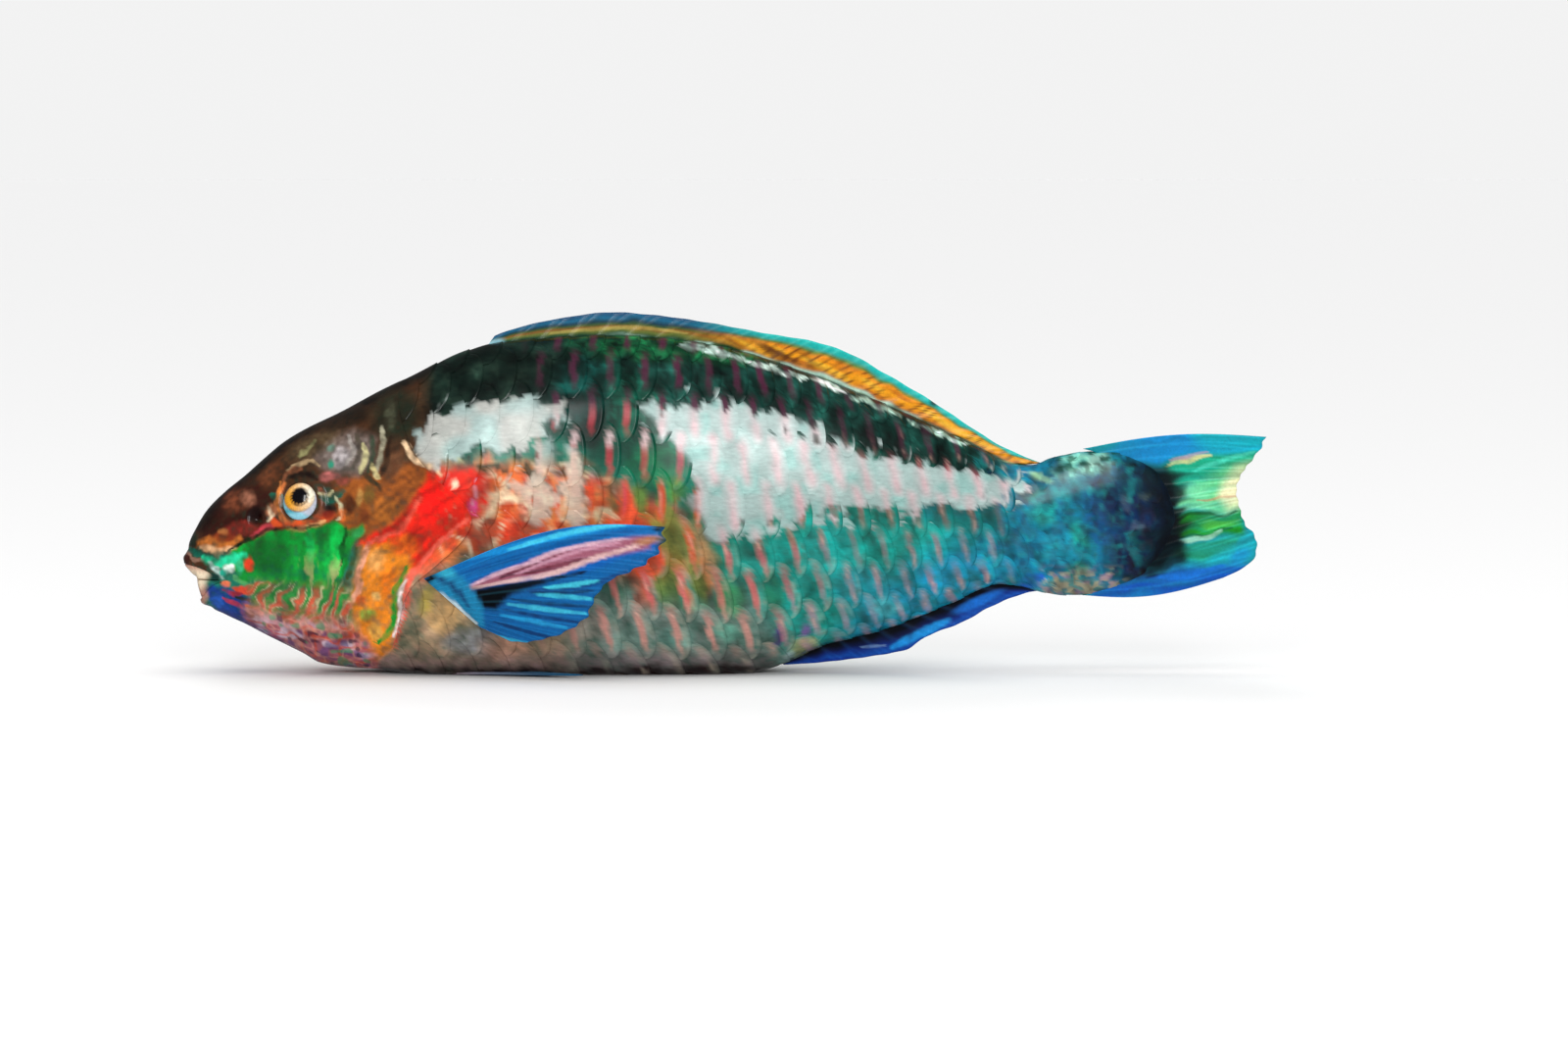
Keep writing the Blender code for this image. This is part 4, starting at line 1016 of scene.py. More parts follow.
COLUMN_STEP = points_of("-135,10.8 -100,12.2 -60,12.9 -10,12.9 50,10.4 110,9.9 165,7.4")
ROW_STEP = points_of("-135,14.6 -60,16.4 0,16.4 60,13.4 112,10.6 165,9")
SCALE_ALONG, SCALE_ACROSS = ((19, 19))
# A plate's length and half width in steps, and how far its rows lean back towards the belly
SCALE_LENGTH, SCALE_HALF_WIDTH, ROW_LEAN = 1.75, 0.74, 0.24
SILVER_GLARE, SILVER_GLARE_BAR = shade("b4cbc7"), shade("d8b9bd")


def scale_columns():
    places = [-129.4]
    while places[-1] < 160.0:
        places.append(places[-1] + float(curve(COLUMN_STEP, places[-1])))
    return np.array(places)


def middle_arc(x):
    """Arc from the back down to the middle row of scales."""
    share = np.interp(x, [-130, -60, 60, 165], [0.47, 0.485, 0.5, 0.5])
    return half_length(x) * share - np.interp(x, [-60, 20, 120], [6.4, 5.0, 2.0])


def scale_places():
    """Each scale's x, column step, row step, arc from the back, arc of the whole flank and lean."""
    columns = scale_columns()
    for row in range(-7, 10):
        for x0 in columns:
            step = float(curve(COLUMN_STEP, x0))
            x0 = x0 + (0.5 * step if row % 2 else 0.0)
            pitch = float(curve(ROW_STEP, x0))
            half = float(half_length(x0))
            centre = float(middle_arc(x0)) + row * pitch
            if centre < -0.45 * pitch or centre > half + 0.45 * pitch:
                continue
            lean = ROW_LEAN if row > 0 else ROW_LEAN * float(ease(x0, -20.0, 50.0))
            x0 += lean * row * pitch
            if -128.0 <= x0 <= 163.0:
                yield x0, step, pitch, centre, half, lean


def scale_plate(place, root, t, b, lip, side):
    """Points of one plate, which of them lie past the back or belly, and how far behind its bar."""
    x0, step, pitch, centre, half, lean = place
    length, width = SCALE_LENGTH * step, SCALE_HALF_WIDTH * pitch
    slant = lean * b * width
    shape = 1 - np.sqrt(1 - (0.97 * np.abs(b)) ** 2.3)
    edge = x0 + DRAWS.uniform(-0.25, 0.25) - 0.52 * step * shape
    x = np.clip(edge - (1 - t) * length + slant, -134.0, TONGUE_X - 0.2)
    arc = centre + b * width * (0.82 + 0.18 * np.sqrt(t))
    local_half = half_length(x)
    arc = arc * local_half / half
    past = (arc < 0.0) | (arc > local_half)
    share = np.clip(arc, 0.0, local_half) / (2 * local_half)
    share = np.clip(share if side < 0 else 1.0 - share, 1e-5, 1 - 1e-5)
    size = min(1.0, step / 12.0) * (1 - 0.35 * float(ease(x0, 95.0, 130.0)))
    # The silvery scales, partly painted glare, lie flatter
    size *= 1 - 0.35 * float(covered(seen(root), SILVER_GLARE_MARKS)[0])
    rise = -0.60 + 0.78 * t ** 0.9 + 0.07 * (1 - b * b) - lip * 0.42
    points = on_body(x, share) + body_normal(x, share) * (rise * size)[..., None]
    points[..., 2] = np.maximum(points[..., 2], 0.04 + 0.45 * (1 - t) + 0.3 * lip)
    return points, past, x - (x0 - 0.36 * step + slant)


def scale_paint(points, t, b, draw, lip, behind):
    """Colours of the plates' points, and how silvery they are, the silver being partly a painted
    glare.
    """
    at = seen(points)
    x, y = at.T
    middle = np.abs(b)
    paint = body_colours(points)
    ragged = (noise(points, 4.0, 8.0) - 0.5) * 30 + (noise(points, 1.6, 9.0) - 0.5) * 14
    scallop = 14.0 * (t - 0.7) - 20.0 * middle + 5.0 + 9.0 * (b > 0) * b
    teeth = bump(behind + 0.3 * b, 1.5) * ease(x, 640.0, 700.0) * (13.0 + 9.0 * draw)
    teeth = teeth * (1 - 0.8 * ease(y, 484.0, 506.0))
    shift = np.stack([0.5 * ragged, 0.7 * ragged + scallop - teeth], axis=-1)
    silver_glare = covered(at + shift, SILVER_GLARE_MARKS)
    grit = noise(points, 1.3, 34.0)
    behind = behind + 1.3 * (noise(points, 4.0, 35.0) - 0.5) + 0.35 * draw
    # The bars, steeper and longer low on the flank
    low_side = ease(y, 540.0, 590.0)
    taper = 1.3 - 0.5 * b * low_side + 0.25 * (noise(points, 2.4, 52.0) - 0.5)
    bar = ease(bump(behind, taper) * (0.72 + 0.7 * grit), 0.22, 0.70)
    reach = middle + 0.08 * draw + 0.22 * (grit - 0.5)
    bar *= 1 - ease(reach, 0.54 + 0.12 * low_side, 0.84 + 0.14 * low_side)
    bar *= 0.95 * ease(x, 520.0, 575.0) * (1 - ease(x, 1000.0, 1050.0))
    # No bars along the bottom row, where the belly lies in painted shadow
    bar *= 1 - ease(y, 656.0, 676.0)
    bar *= 1 - 0.75 * ease(x, 790.0, 860.0) * noise(points, 7.0, 36.0)
    bar *= 0.8 + 0.2 * draw
    # A painted highlight down the middle of each bar
    bar_highlight = bar * bump(behind, 0.5) * ease(noise(points, 3.0, 37.0), 0.45, 0.7)
    bar_highlight = bar_highlight * ease(y, 425.0, 470.0)
    belt = ease(area_depth(at, "570,436 710,436 716,480 570,486"), -8, 8)
    tips = bar * ease(-b, 0.05, 0.4) * belt
    paint = paint * (1 + 0.14 * draw)[:, None]
    net = bump(t - 0.93, 0.06) * (1 - lip) * low_side
    net = net * ease(x, 540.0, 600.0) * (1 - ease(x, 840.0, 920.0))
    paint = blend(paint, "bdb4a0", 0.26 * net * ease(noise(points, 3.0, 67.0), 0.42, 0.7))
    # Painted shade: darker in front of each bar, just behind the edge of the scale before, where
    # that edge shades it
    painted_scale_shade = bump(t - 0.61, 0.13) * (1 - ease(middle, 0.5, 0.9)) * ease(x, 560.0, 620.0)
    paint = paint * (1 - 0.62 * painted_scale_shade * noise(points, 3.0, 38.0))[:, None]
    # Pale light runs down beside a bar, and its ends fade
    beside = bump(behind - 2.2, 0.8) * (1 - ease(middle, 0.4, 0.8)) * ease(x, 560.0, 640.0)
    beside = beside * (1 - ease(x, 800.0, 860.0)) * ease(noise(points, 3.5, 47.0), 0.45, 0.7)
    paint = blend(paint, "c8b8a4", 0.4 * beside * ease(y, 540.0, 600.0))
    tint = painted(plain(points, "c85a64"), at, BAR_MARKS)
    paint = mixed(paint, tint, bar * (1 - 0.45 * ease(middle, 0.25, 0.7)))
    paint = blend(paint, "f0b8a4", 0.6 * bar_highlight)
    paint = blend(paint, "f4e6e6", 0.85 * tips)
    # A dark rim along the edge of the silver, which is partly painted glare
    edge = bump(silver_glare - 0.40, 0.28) * ease(noise(points, 2.2, 48.0), 0.40, 0.58)
    paint = blend(paint, "062a22", 0.9 * edge * ease(-y, -520.0, -500.0))
    paint = blend(paint, "4a1c14", 0.8 * edge * ease(y, 500.0, 520.0))
    # The silver itself, partly a painted glare of wet reflection: pearl, with pink where the bars
    # would be
    soft = bump(behind, 2.1) * (1 - ease(middle, 0.6, 0.95)) * ease(x, 560.0, 640.0)
    soft = soft * (0.45 + 0.6 * noise(points, 3.6, 53.0))
    bright = mixed(SILVER_GLARE, SILVER_GLARE_BAR, soft)
    front = ease(noise(points, 9.0, 54.0), 0.35, 0.7) * (1 - ease(x, 600.0, 680.0))
    bright = blend(bright, "d3cbc4", 0.7 * front)
    warm = ease(area_depth(at, "512,476 610,452 616,540 512,540"), -6.0, 10.0)
    bright = blend(bright, "e6c9b2", 0.75 * warm)
    mint = ease(x, 640.0, 700.0) * ease(noise(points, 4.5, 70.0), 0.50, 0.75) * (1 - soft)
    bright = blend(bright, "8ecfc6", 0.5 * mint)
    uneven = 1 + 0.26 * (noise(points, 6.0, 11.0) - 0.5) + 0.16 * (grit - 0.5)
    bright = bright * (uneven * (0.96 + 0.10 * bump(t - 0.86, 0.12)))[:, None]
    paint = mixed(paint, bright, 0.95 * silver_glare)
    # Painted shade: the free edge and the turned-down lip darkened, except in the silver
    shaded = (0.08 * bump(t - 1.0, 0.05) * (1 - lip) + 0.32 * lip) * (1 - silver_glare)
    return np.clip(paint * (1 - shaded)[:, None], 0, 1), silver_glare


def make_scales(side):
    along, across = np.linspace(0, 1, SCALE_ALONG), np.linspace(-1, 1, SCALE_ACROSS)
    t, b = np.meshgrid(along, across, indexing="ij")
    # One more strip at the rear turns the free edge down into the plate's thickness
    t, b = np.vstack([t, t[-1:]]), np.vstack([b, b[-1:] * 0.985])
    lip = np.zeros(t.shape)
    lip[-1] = 1.0
    n_along, n_across = t.shape
    cells = np.arange(t.size).reshape(t.shape)[:-1, :-1, None]
    corners = np.array([0, 1, n_across + 1, n_across])[::-side]
    vertices, faces, details, patches = [], [], [], []
    for place in scale_places():
        x0, step, pitch, centre, half = place[:5]
        root = on_body(np.array([x0 - 0.3 * step]), np.array([centre / (2 * half)]))
        if root[0, 0] < float(gill_x(root[0, 2])) + 0.8:
            continue
        points, past, behind = scale_plate(place, root, t, b, lip, side)
        hidden = past[:-1, :-1] & past[1:, :-1] & past[:-1, 1:] & past[1:, 1:]
        faces += (len(vertices) * t.size + (cells + corners)[~hidden]).tolist()
        vertices.append(points.reshape(-1, 3))
        details.append([t, b, np.full(t.shape, DRAWS.uniform(-1, 1)), lip, behind])
        patches.append((x0, centre / half, step, pitch / half))
    points = np.vstack(vertices)
    paint, silver_glare = scale_paint(points, *np.moveaxis(np.array(details), 1, 0).reshape(5, -1))
    obj = put(f"scales_{SIDES[side]}", points, faces)
    set_colours(obj, paint)
    layer = obj.data.attributes.new("silver_glare", "FLOAT", "POINT")
    layer.data.foreach_set("value", np.clip(silver_glare * 0.3, 0, 1).astype(np.float32))
    # Plates in the silver, partly painted glare, and on the stalk keep their own normals up to the
    # free edge, which smooth shading would darken
    ends = np.zeros(2 * len(obj.data.edges), int)
    obj.data.edges.foreach_get("vertices", ends)
    ends = ends.reshape(-1, 2)
    plainer = (silver_glare > 0.2) | (seen(points)[:, 0] > 1046.0)
    free = (ends // n_across % n_along == n_along - 2).all(axis=1) & plainer[ends].all(axis=1)
    obj.data.attributes.new("sharp_edge", "BOOLEAN", "EDGE").data.foreach_set("value", free)
    add_bake_map(obj, patches, n_along, n_across)
    finish(obj, SCALE_LOOK, "trunk_skin")


def add_bake_map(obj, patches, n_along, n_across):
    """Each scale is a patch at its root's place on an unwrap of the skin by length and arc. The
    plates are far larger than tufts of fur and carry a bar each, so a patch is as large as fits."""
    i, m = np.divmod(np.arange(n_along * n_across), n_across)
    i, m = i / (n_along - 1) - 0.5, m / (n_across - 1) - 0.5
    x0, arc_share, step, pitch_share = np.array(patches).T[..., None]
    length = TONGUE_X - SNOUT_X
    u = (x0 - SNOUT_X) / length + i * 0.9 * step / length
    v = 0.04 + 0.9 * arc_share + m * 0.8 * 0.9 * pitch_share
    loops = np.zeros(len(obj.data.loops), int)
    obj.data.loops.foreach_get("vertex_index", loops)
    places = np.stack([u, v], axis=-1).reshape(-1, 2)[loops]
    layer = obj.data.uv_layers.new(name="OFBake")
    layer.data.foreach_set("uv", places.astype(np.float32).ravel())


# ---- Fins: ribbed membranes whose rays part towards their tips


def ray_ridge(place, t):
    """0 between rays and 1 on one; place counts rays across the fin."""
    off = np.abs(place - np.round(place))
    split = ease(t, 0.3, 0.75)
    return bump(off, 0.12) * (1 - split) + bump(off - 0.16 * split, 0.075) * split


def membrane(name, surface, rays, columns, stations, crest, web, notch=0.02):
    """surface(u, t) gives points and unit normals; crest(t) and web(t) are half thicknesses."""
    columns, stations = ((columns, stations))
    n, m = (rays - 1) * columns + 1, stations
    u, t = np.meshgrid(np.linspace(0, 1, n), np.linspace(0, 1, m), indexing="ij")
    place = u * (rays - 1)
    ridge = ray_ridge(place, t)
    off = np.abs(place - np.round(place)) * 2
    point, normal = surface(u, t * (1 - notch * t * ease(off, 0.0, 1.0)))
    half = (web(t) + (crest(t) - web(t)) * ridge) * (1 - 0.55 * ease(t, 0.94, 1.0))
    half[[0, -1]] *= 0.6
    front, rear = point + normal * half[..., None], point - normal * half[..., None]
    total = n * m
    faces = []
    for i in range(0, total - m, m):
        for a in range(i, i + m - 1):
            b, c, d = a + 1, a + m + 1, a + m
            faces += [(a, b, c, d), (total + a, total + d, total + c, total + b)]
    rim = [*range(0, total, m), *range(total - m + 1, total)]
    rim += [*range(total - m - 1, 0, -m), *range(m - 2, 0, -1)]
    faces += [(p, q, total + q, total + p) for p, q in zip(rim, rim[1:] + rim[:1])]
    obj = cleaned(put(name, np.vstack([front.reshape(-1, 3), rear.reshape(-1, 3)]), faces))
    return obj, np.tile(t.ravel(), 2), np.tile(ridge.ravel(), 2)


def falling(root, tip):
    return lambda t: tip + (root - tip) * (1 - t) ** 1.6


def facing(point, axis):
    """Normals along one axis."""
    normal = np.zeros(point.shape)
    normal[..., axis] = 1.0
    return normal


def median_surface(first, last, line, margin, lean, sink, wave):
    def surface(u, t):
        root_x = first + (last - first) * u
        root_z = curve(line, root_x) + sink
        tip_x = root_x + lean[0] + (lean[1] - lean[0]) * np.sqrt(u)
        x = root_x + (tip_x - root_x) * t
        z = root_z + (curve(margin, tip_x) - root_z) * t ** 0.8
        z = z + 0.5 * sink * np.sin(math.pi * t) * ease(u, 0.86, 1.0)
        point = np.stack([x, wave * t * np.sin(u * 9.0), z], axis=-1)
        return point, facing(point, 1)

    return surface


def caudal_surface(u, t):
    turn = np.radians(82.0 - 164.0 * u)
    root_x, root_z = 129.0 + 24.0 * np.cos(turn), 55.6 + 27.4 * np.sin(turn)
    tip_x = curve([(a, x) for a, x, z in TAIL_TIPS], u)
    tip_z = curve([(a, z) for a, x, z in TAIL_TIPS], u)
    bow = 3.0 * (1 - ease(u, 0.0, 0.35)) - 3.4 * ease(u, 0.7, 1.0)
    x = root_x + (tip_x - root_x) * t
    z = root_z + (tip_z - root_z) * t + bow * np.sin(math.pi * t)
    point = np.stack([x, 1.2 * t * np.sin(u * 7.0), z], axis=-1)
    return point, facing(point, 1)


def pectoral_surface(side):
    top, low = np.array(PECTORAL_ROOT)
    tips = np.array(PECTORAL_TIPS)
    where = np.linspace(0, 1, len(tips))
    samples = np.linspace(0, 1, 24)
    widths = [flank_width(*(top + (low - top) * q)) for q in samples]

    def surface(u, t):
        root = top + (low - top) * u[..., None]
        tip = np.stack([np.interp(u, where, tips[:, k]) for k in (0, 1)], axis=-1)
        reach = np.linalg.norm(tip - root, axis=-1)
        x, z = np.moveaxis(root + (tip - root) * t[..., None], -1, 0)
        z = z + 1.6 * t + 7.6 * (1 - ease(u, 0.0, 0.7)) * np.sin(math.pi * t ** 1.1)
        out = np.interp(u, samples, widths) - 1.4 + 2.8 * ease(t, 0.0, 0.16)
        out = out + reach * t * (0.17 + 0.10 * u) + 2.6 * np.sin(math.pi * u) * t
        normal = np.stack([0.20 + 0 * u, side + 0 * u, 0.10 - 0.25 * u], axis=-1)
        normal /= np.linalg.norm(normal, axis=-1, keepdims=True)
        return np.stack([x, side * out, z], axis=-1), normal

    return surface


def pelvic_surface(side):
    def surface(u, t):
        root = np.stack([-101.0 + 10.0 * u, 13.6 - 1.6 * u], axis=-1)
        tip = np.stack([-52.0 - 15.0 * u, 27.0 - 9.0 * u], axis=-1)
        x, y = np.moveaxis(root + (tip - root) * t[..., None], -1, 0)
        point = np.stack([x, side * y, 0.75 + 0.5 * t], axis=-1)
        return point, facing(point, 2)

    return surface


def streaked(colours, ridge, dark, light, amount):
    """Rays lighter and the web between them darker: partly the rays' own colour, partly a painted
    highlight on the crests and painted shade in the webs.
    """
    web = 1 - ridge
    colours = colours * (1 - amount * web)[:, None] + shade(dark) * (0.3 * amount * web)[:, None]
    return blend(colours, light, 0.35 * amount * ridge)


DORSAL_MARKS = [
    patch("9adcf0", 0.8, 502, 349, 12, 5, -22),
    patch("021418", 0.9, 955, 409, 6, 5),
    patch("c8e0a0", 0.7, 1040, 480, 20, 6, 30),
    stroke("c8b45a", 0.6, 4, "560,338 600,334 650,332 700,338"),
]


def make_dorsal():
    surface = median_surface(-89.0, 98.0, TOP, DORSAL_MARGIN, (3.6, 18.8), -2.2, 0.7)
    thickness = falling(1.1, 0.42), falling(0.9, 0.28)
    fin, _, ridge = membrane("dorsal_membrane", surface, 19, 12, 26, *thickness)
    points = mesh_points(fin)
    at = seen(points)
    x = at[:, 0]
    base_z = curve(TOP, points[:, 0])
    depth = np.maximum(curve(DORSAL_MARGIN, points[:, 0]) - base_z, 0.5)
    level = np.clip((points[:, 2] - base_z) / depth, -0.3, 1.0)
    level = level + (noise(points, 5.0, 12.0) - 0.5) * 0.22
    front = layered(level, (-0.2, "0c3a22"), (0.05, "0a4a28"), (0.22, "6c7a30"), (0.38, "8c5a1c"),
                    (0.5, "3a5a28"), (0.62, "063c50"), (0.8, "06688e"), (1.0, "064c76"))
    rear = layered(level, (-0.2, "0c3a22"), (0.04, "2a4a18"), (0.14, "e88c08"), (0.4, "ffa808"),
                   (0.6, "f89410"), (0.70, "5a8a3c"), (0.80, "04b4ac"), (1.0, "08c8c0"))
    to_rear = ease(x, 690.0, 800.0)
    colours = mixed(front, rear, to_rear)
    orange = bump(level - 0.36, 0.26) * to_rear
    slant = streaks(at, 30.0, 34.0, 4.2, 60.0)
    colours = blend(colours, "ffd03c", 0.55 * orange * ease(slant, 0.60, 0.76))
    colours = blend(colours, "a8480a", 0.65 * orange * ease(-slant, -0.42, -0.28))
    first = orange * (1 - ease(x, 800.0, 880.0))
    steeper = ease(streaks(at, 34.0, 30.0, 5.0, 61.0), 0.48, 0.62)
    colours = blend(colours, "2c2008", 0.75 * first * steeper)
    slanted = np.sin((points[:, 0] - points[:, 2] * 1.6) * 1.15 + 3 * noise(points, 9.0, 13.0))
    dark = ease(slanted, 0.1, 0.9) * (1 - ease(np.abs(level - 0.38), 0.22, 0.42)) * to_rear
    colours = blend(colours, "5a2804", 0.85 * dark * ease(noise(points, 4.0, 51.0), 0.2, 0.6))
    # Painted highlights: pale aqua glints along the base of the fin
    fin_base_highlight = bump(level - 0.03, 0.07) * ease(noise(points, 6.0, 14.0), 0.35, 0.6)
    fin_base_highlight = fin_base_highlight * ease(x, 590.0, 720.0) * (1 - ease(x, 900.0, 960.0))
    colours = painted(blend(colours, "c8f4e0", 0.85 * fin_base_highlight), at, DORSAL_MARKS)
    set_colours(fin, streaked(colours, ridge, "3a1c04", "ffd890", 0.12))
    finish(fin, FIN_LOOK, "dorsal_membrane", "dorsal_fin")


ANAL_MARKS = [
    stroke("12a0f0", 0.85, 9, "912,662 940,648 970,634"),
    patch("0a78e4", 0.8, 1000, 615, 30, 6, -24),
    patch("0a2c9c", 0.7, 850, 677, 40, 5, -4),
    stroke("8ab0dc", 0.5, 3, "880,662 904,660"),
]


def make_anal():
    surface = median_surface(19.0, 100.0, BELLY, ANAL_MARGIN, (2.6, 16.4), 2.2, 0.6)
    thickness = falling(1.1, 0.40), falling(0.9, 0.28)
    fin, _, ridge = membrane("anal_membrane", surface, 12, 12, 22, *thickness)
    points = mesh_points(fin)
    base_z = curve(BELLY, points[:, 0])
    depth = np.maximum(base_z - curve(ANAL_MARGIN, points[:, 0]), 0.5)
    level = np.clip((base_z - points[:, 2]) / depth, -0.3, 1.0)
    level = level + (noise(points, 4.0, 15.0) - 0.5) * 0.25
    colours = layered(level, (-0.2, "020a14"), (0.2, "020818"), (0.42, "04164c"), (0.62, "052e88"),
                      (0.85, "0850b4"), (1.0, "0840a0"))
    colours = painted(colours, seen(points), ANAL_MARKS)
    set_colours(fin, streaked(colours, ridge, "020418", "3aa0ff", 0.12))
    finish(fin, FIN_LOOK, "anal_membrane", "anal_fin")


CAUDAL_MARKS = [
    area("048cce", 1.0, 12, "1120,470 1150,440 1230,430 1310,430 1310,462 1250,462 1190,470"),
    area("02bac6", 0.9, 20, "1215,436 1310,430 1310,466 1240,462"),
    area("12b48a", 1.0, 8, "1190,472 1240,464 1290,462 1290,490 1250,496 1196,496"),
    stroke("ecea9c", 0.95, 4, "1196,474 1215,470 1238,465"),
    stroke("d8a0b0", 0.7, 3, "1200,470 1218,467 1236,462"),
    stroke("4ae0c0", 0.8, 5, "1224,480 1250,470 1284,462"),
    area("6cd88c", 0.9, 14, "1226,494 1256,476 1282,470 1278,500 1272,524 1240,524 1218,510"),
    area("f2ecb8", 0.95, 14, "1254,490 1268,476 1284,472 1278,500 1274,520 1256,518 1248,506"),
    area("74dca0", 0.9, 12, "1204,498 1236,494 1242,520 1204,522"),
    stroke("c87c5c", 0.5, 3, "1228,508 1250,507 1272,508"),
    area("149c24", 1.0, 8, "1200,524 1240,524 1274,522 1276,544 1240,546 1202,548"),
    patch("56d03c", 0.9, 1248, 534, 22, 5, -4),
    stroke("04501c", 0.85, 4, "1202,528 1230,526 1266,522"),
    stroke("04601c", 0.85, 4, "1202,548 1232,546 1262,538"),
    stroke("a6e4c4", 0.9, 6, "1202,553 1226,550 1250,542"),
    area("1aa070", 0.9, 8, "1202,558 1240,552 1270,546 1262,562 1230,572 1200,572"),
    area("10b4c4", 0.9, 10, "1236,572 1262,554 1292,548 1290,566 1262,584 1236,586"),
    area("0456bc", 1.0, 12, "1120,594 1160,588 1210,580 1262,576 1284,578 1250,606 1190,620 "
         "1110,620"),
    stroke("0a78e0", 0.8, 7, "1170,590 1210,588 1250,578"),
    patch("0694dc", 0.8, 1270, 568, 16, 10, -30),
    stroke("021040", 0.9, 12, "1130,588 1165,588 1205,574"),
    area("02101c", 0.9, 10, "1120,470 1196,472 1206,510 1206,560 1180,590 1120,596"),
]


def make_caudal():
    thickness = falling(1.26, 0.40), falling(1.2, 0.28)
    fin, _, ridge = membrane("caudal_membrane", caudal_surface, 13, 18, 44, *thickness, notch=0.012)
    points = mesh_points(fin)
    rough = np.stack([noise(points, 6.0, 16.0), noise(points, 6.0, 17.0)], axis=-1) - 0.5
    at = seen(points) + rough * 8
    uneven = 0.62 + 0.62 * streaks(at, -6.0, 46.0, 5.0, 62.0)
    colours = painted(plain(points, "0c9aa8"), at, CAUDAL_MARKS, uneven)
    colours = colours * (0.7 + 0.62 * streaks(at, -4.0, 70.0, 4.0, 49.0))[:, None]
    # The stalk's dark end runs out between the rays
    root = ease(1214.0 + 26.0 * (streaks(at, -2.0, 30.0, 6.0, 50.0) - 0.5) - at[:, 0], -6.0, 12.0)
    root = root * ease(at[:, 1], 468.0, 486.0) * (1 - ease(at[:, 1], 570.0, 590.0))
    colours = blend(streaked(colours, ridge, "021c30", "38d8e8", 0.16), "020a12", 0.93 * root)
    set_colours(fin, colours)
    finish(fin, FIN_LOOK, "caudal_membrane", "caudal_fin")


PECTORAL_MARKS = [
    area("006cb6", 1.0, 8, "430,600 446,572 530,545 600,528 690,528 684,548 651,548 588,556 "
         "534,571 480,594"),
    stroke("0a98e4", 0.9, 8, "470,572 534,556 588,543 640,534 672,534"),
    stroke("48d4f4", 0.95, 5, "520,561 560,549 600,540 640,535"),
    stroke("00559c", 0.9, 5, "470,586 534,567 588,552 650,541"),
    area("a85f74", 1.0, 6, "480,598 512,584 568,563 603,555 651,547 668,547 662,560 609,570 "
         "578,582 525,591 483,602"),
    stroke("e8b8c8", 0.95, 5, "481,598 512,584 538,576 568,563 603,555 641,549"),
    stroke("5c1428", 0.95, 5, "512,589 550,576 580,564"),
    stroke("d89ab0", 0.9, 4, "530,585 565,571 600,560 636,553"),
    stroke("681c2c", 0.9, 5, "538,585 568,578 600,569"),
    stroke("ecc0bc", 0.95, 5.5, "483,600 525,592 551,588 578,581 610,569 641,560 660,552"),
    patch("b87440", 0.85, 664, 551, 16, 5, -10),
    area("0062a8", 1.0, 6, "488,612 500,600 546,594 599,584 640,568 684,558 650,600 600,640 "
         "540,668 496,652"),
    # Painted shadow: the black hollow where the upper rays part from the lower fan, and darker
    # shade running from it along the lower rays
    area("01060c", 1.0, 8, "484,600 506,598 546,593 560,594 524,606 508,622 492,620"),
    stroke("01101e", 0.95, 5, "500,601 546,594 599,583"),
    stroke("0a3c7c", 0.8, 5, "540,602 600,597 640,582"),
    stroke("44cfe4", 0.95, 5, "560,599 586,596 612,592"),
    stroke("04305c", 0.85, 4, "545,604 580,604 606,602"),
    stroke("3cc4e0", 0.95, 5, "550,606 580,608 606,610"),
    stroke("04305c", 0.85, 4, "525,611 570,616 606,618"),
    stroke("3cbede", 0.95, 5, "522,616 560,621 600,625"),
    stroke("04346c", 0.85, 4, "516,621 556,629 592,634"),
    stroke("1c9cd8", 0.9, 5, "514,627 546,633 580,640"),
    stroke("04346c", 0.85, 4, "506,634 540,644 566,650"),
    stroke("34b0d8", 0.95, 5.5, "500,647 520,653 548,658"),
    patch("2c4a30", 0.9, 680, 552, 7, 14, 10),
    patch("02080c", 0.95, 674, 538, 8, 4.5, -10),
    area("1488b8", 0.97, 5, "436,586 447,576 460,578 480,594 494,618 496,640 484,638 452,608 "
         "434,598"),
    stroke("0a3a70", 0.85, 6, "452,590 468,602 480,618"),
    patch("36bcd8", 0.8, 458, 584, 9, 5, 30),
    stroke("d8eef4", 0.97, 5.5, "434,596 448,606 462,615 474,625 487,636"),
    patch("020406", 1.0, 440, 590, 5.4, 5, 0, 0.4),
]


def make_pectoral(side):
    def crest(t):
        return 0.44 + 1.88 * (1 - t) ** 2.6

    def web(t):
        return crest(t) * (1 - 0.45 * ease(t, 0.06, 0.3))

    fin, _, ridge = membrane(f"pectoral_membrane_{SIDES[side]}", pectoral_surface(side), 14, 12, 40,
                             crest, web, notch=0.018)
    points = mesh_points(fin)
    colours = painted(plain(points, "0060b8"), seen(points), PECTORAL_MARKS)
    set_colours(fin, streaked(colours, ridge, "021430", "48c8f0", 0.14))
    finish(fin, FIN_LOOK, "paired_membrane", f"pectoral_fin_{SIDES[side]}")


def make_pelvic(side):
    fin, t, ridge = membrane(f"pelvic_membrane_{SIDES[side]}", pelvic_surface(side), 6, 12, 24,
                             falling(0.62, 0.42), falling(0.4, 0.24))
    colours = layered(t, (0.0, "8a6a70"), (0.3, "5a5a70"), (0.7, "2a5a80"), (1.0, "1a6a98"))
    set_colours(fin, streaked(colours, ridge, "101830", "a8d8e8", 0.3))
    finish(fin, FIN_LOOK, "paired_membrane", f"pelvic_fin_{SIDES[side]}")


# ---- Eyes and beak


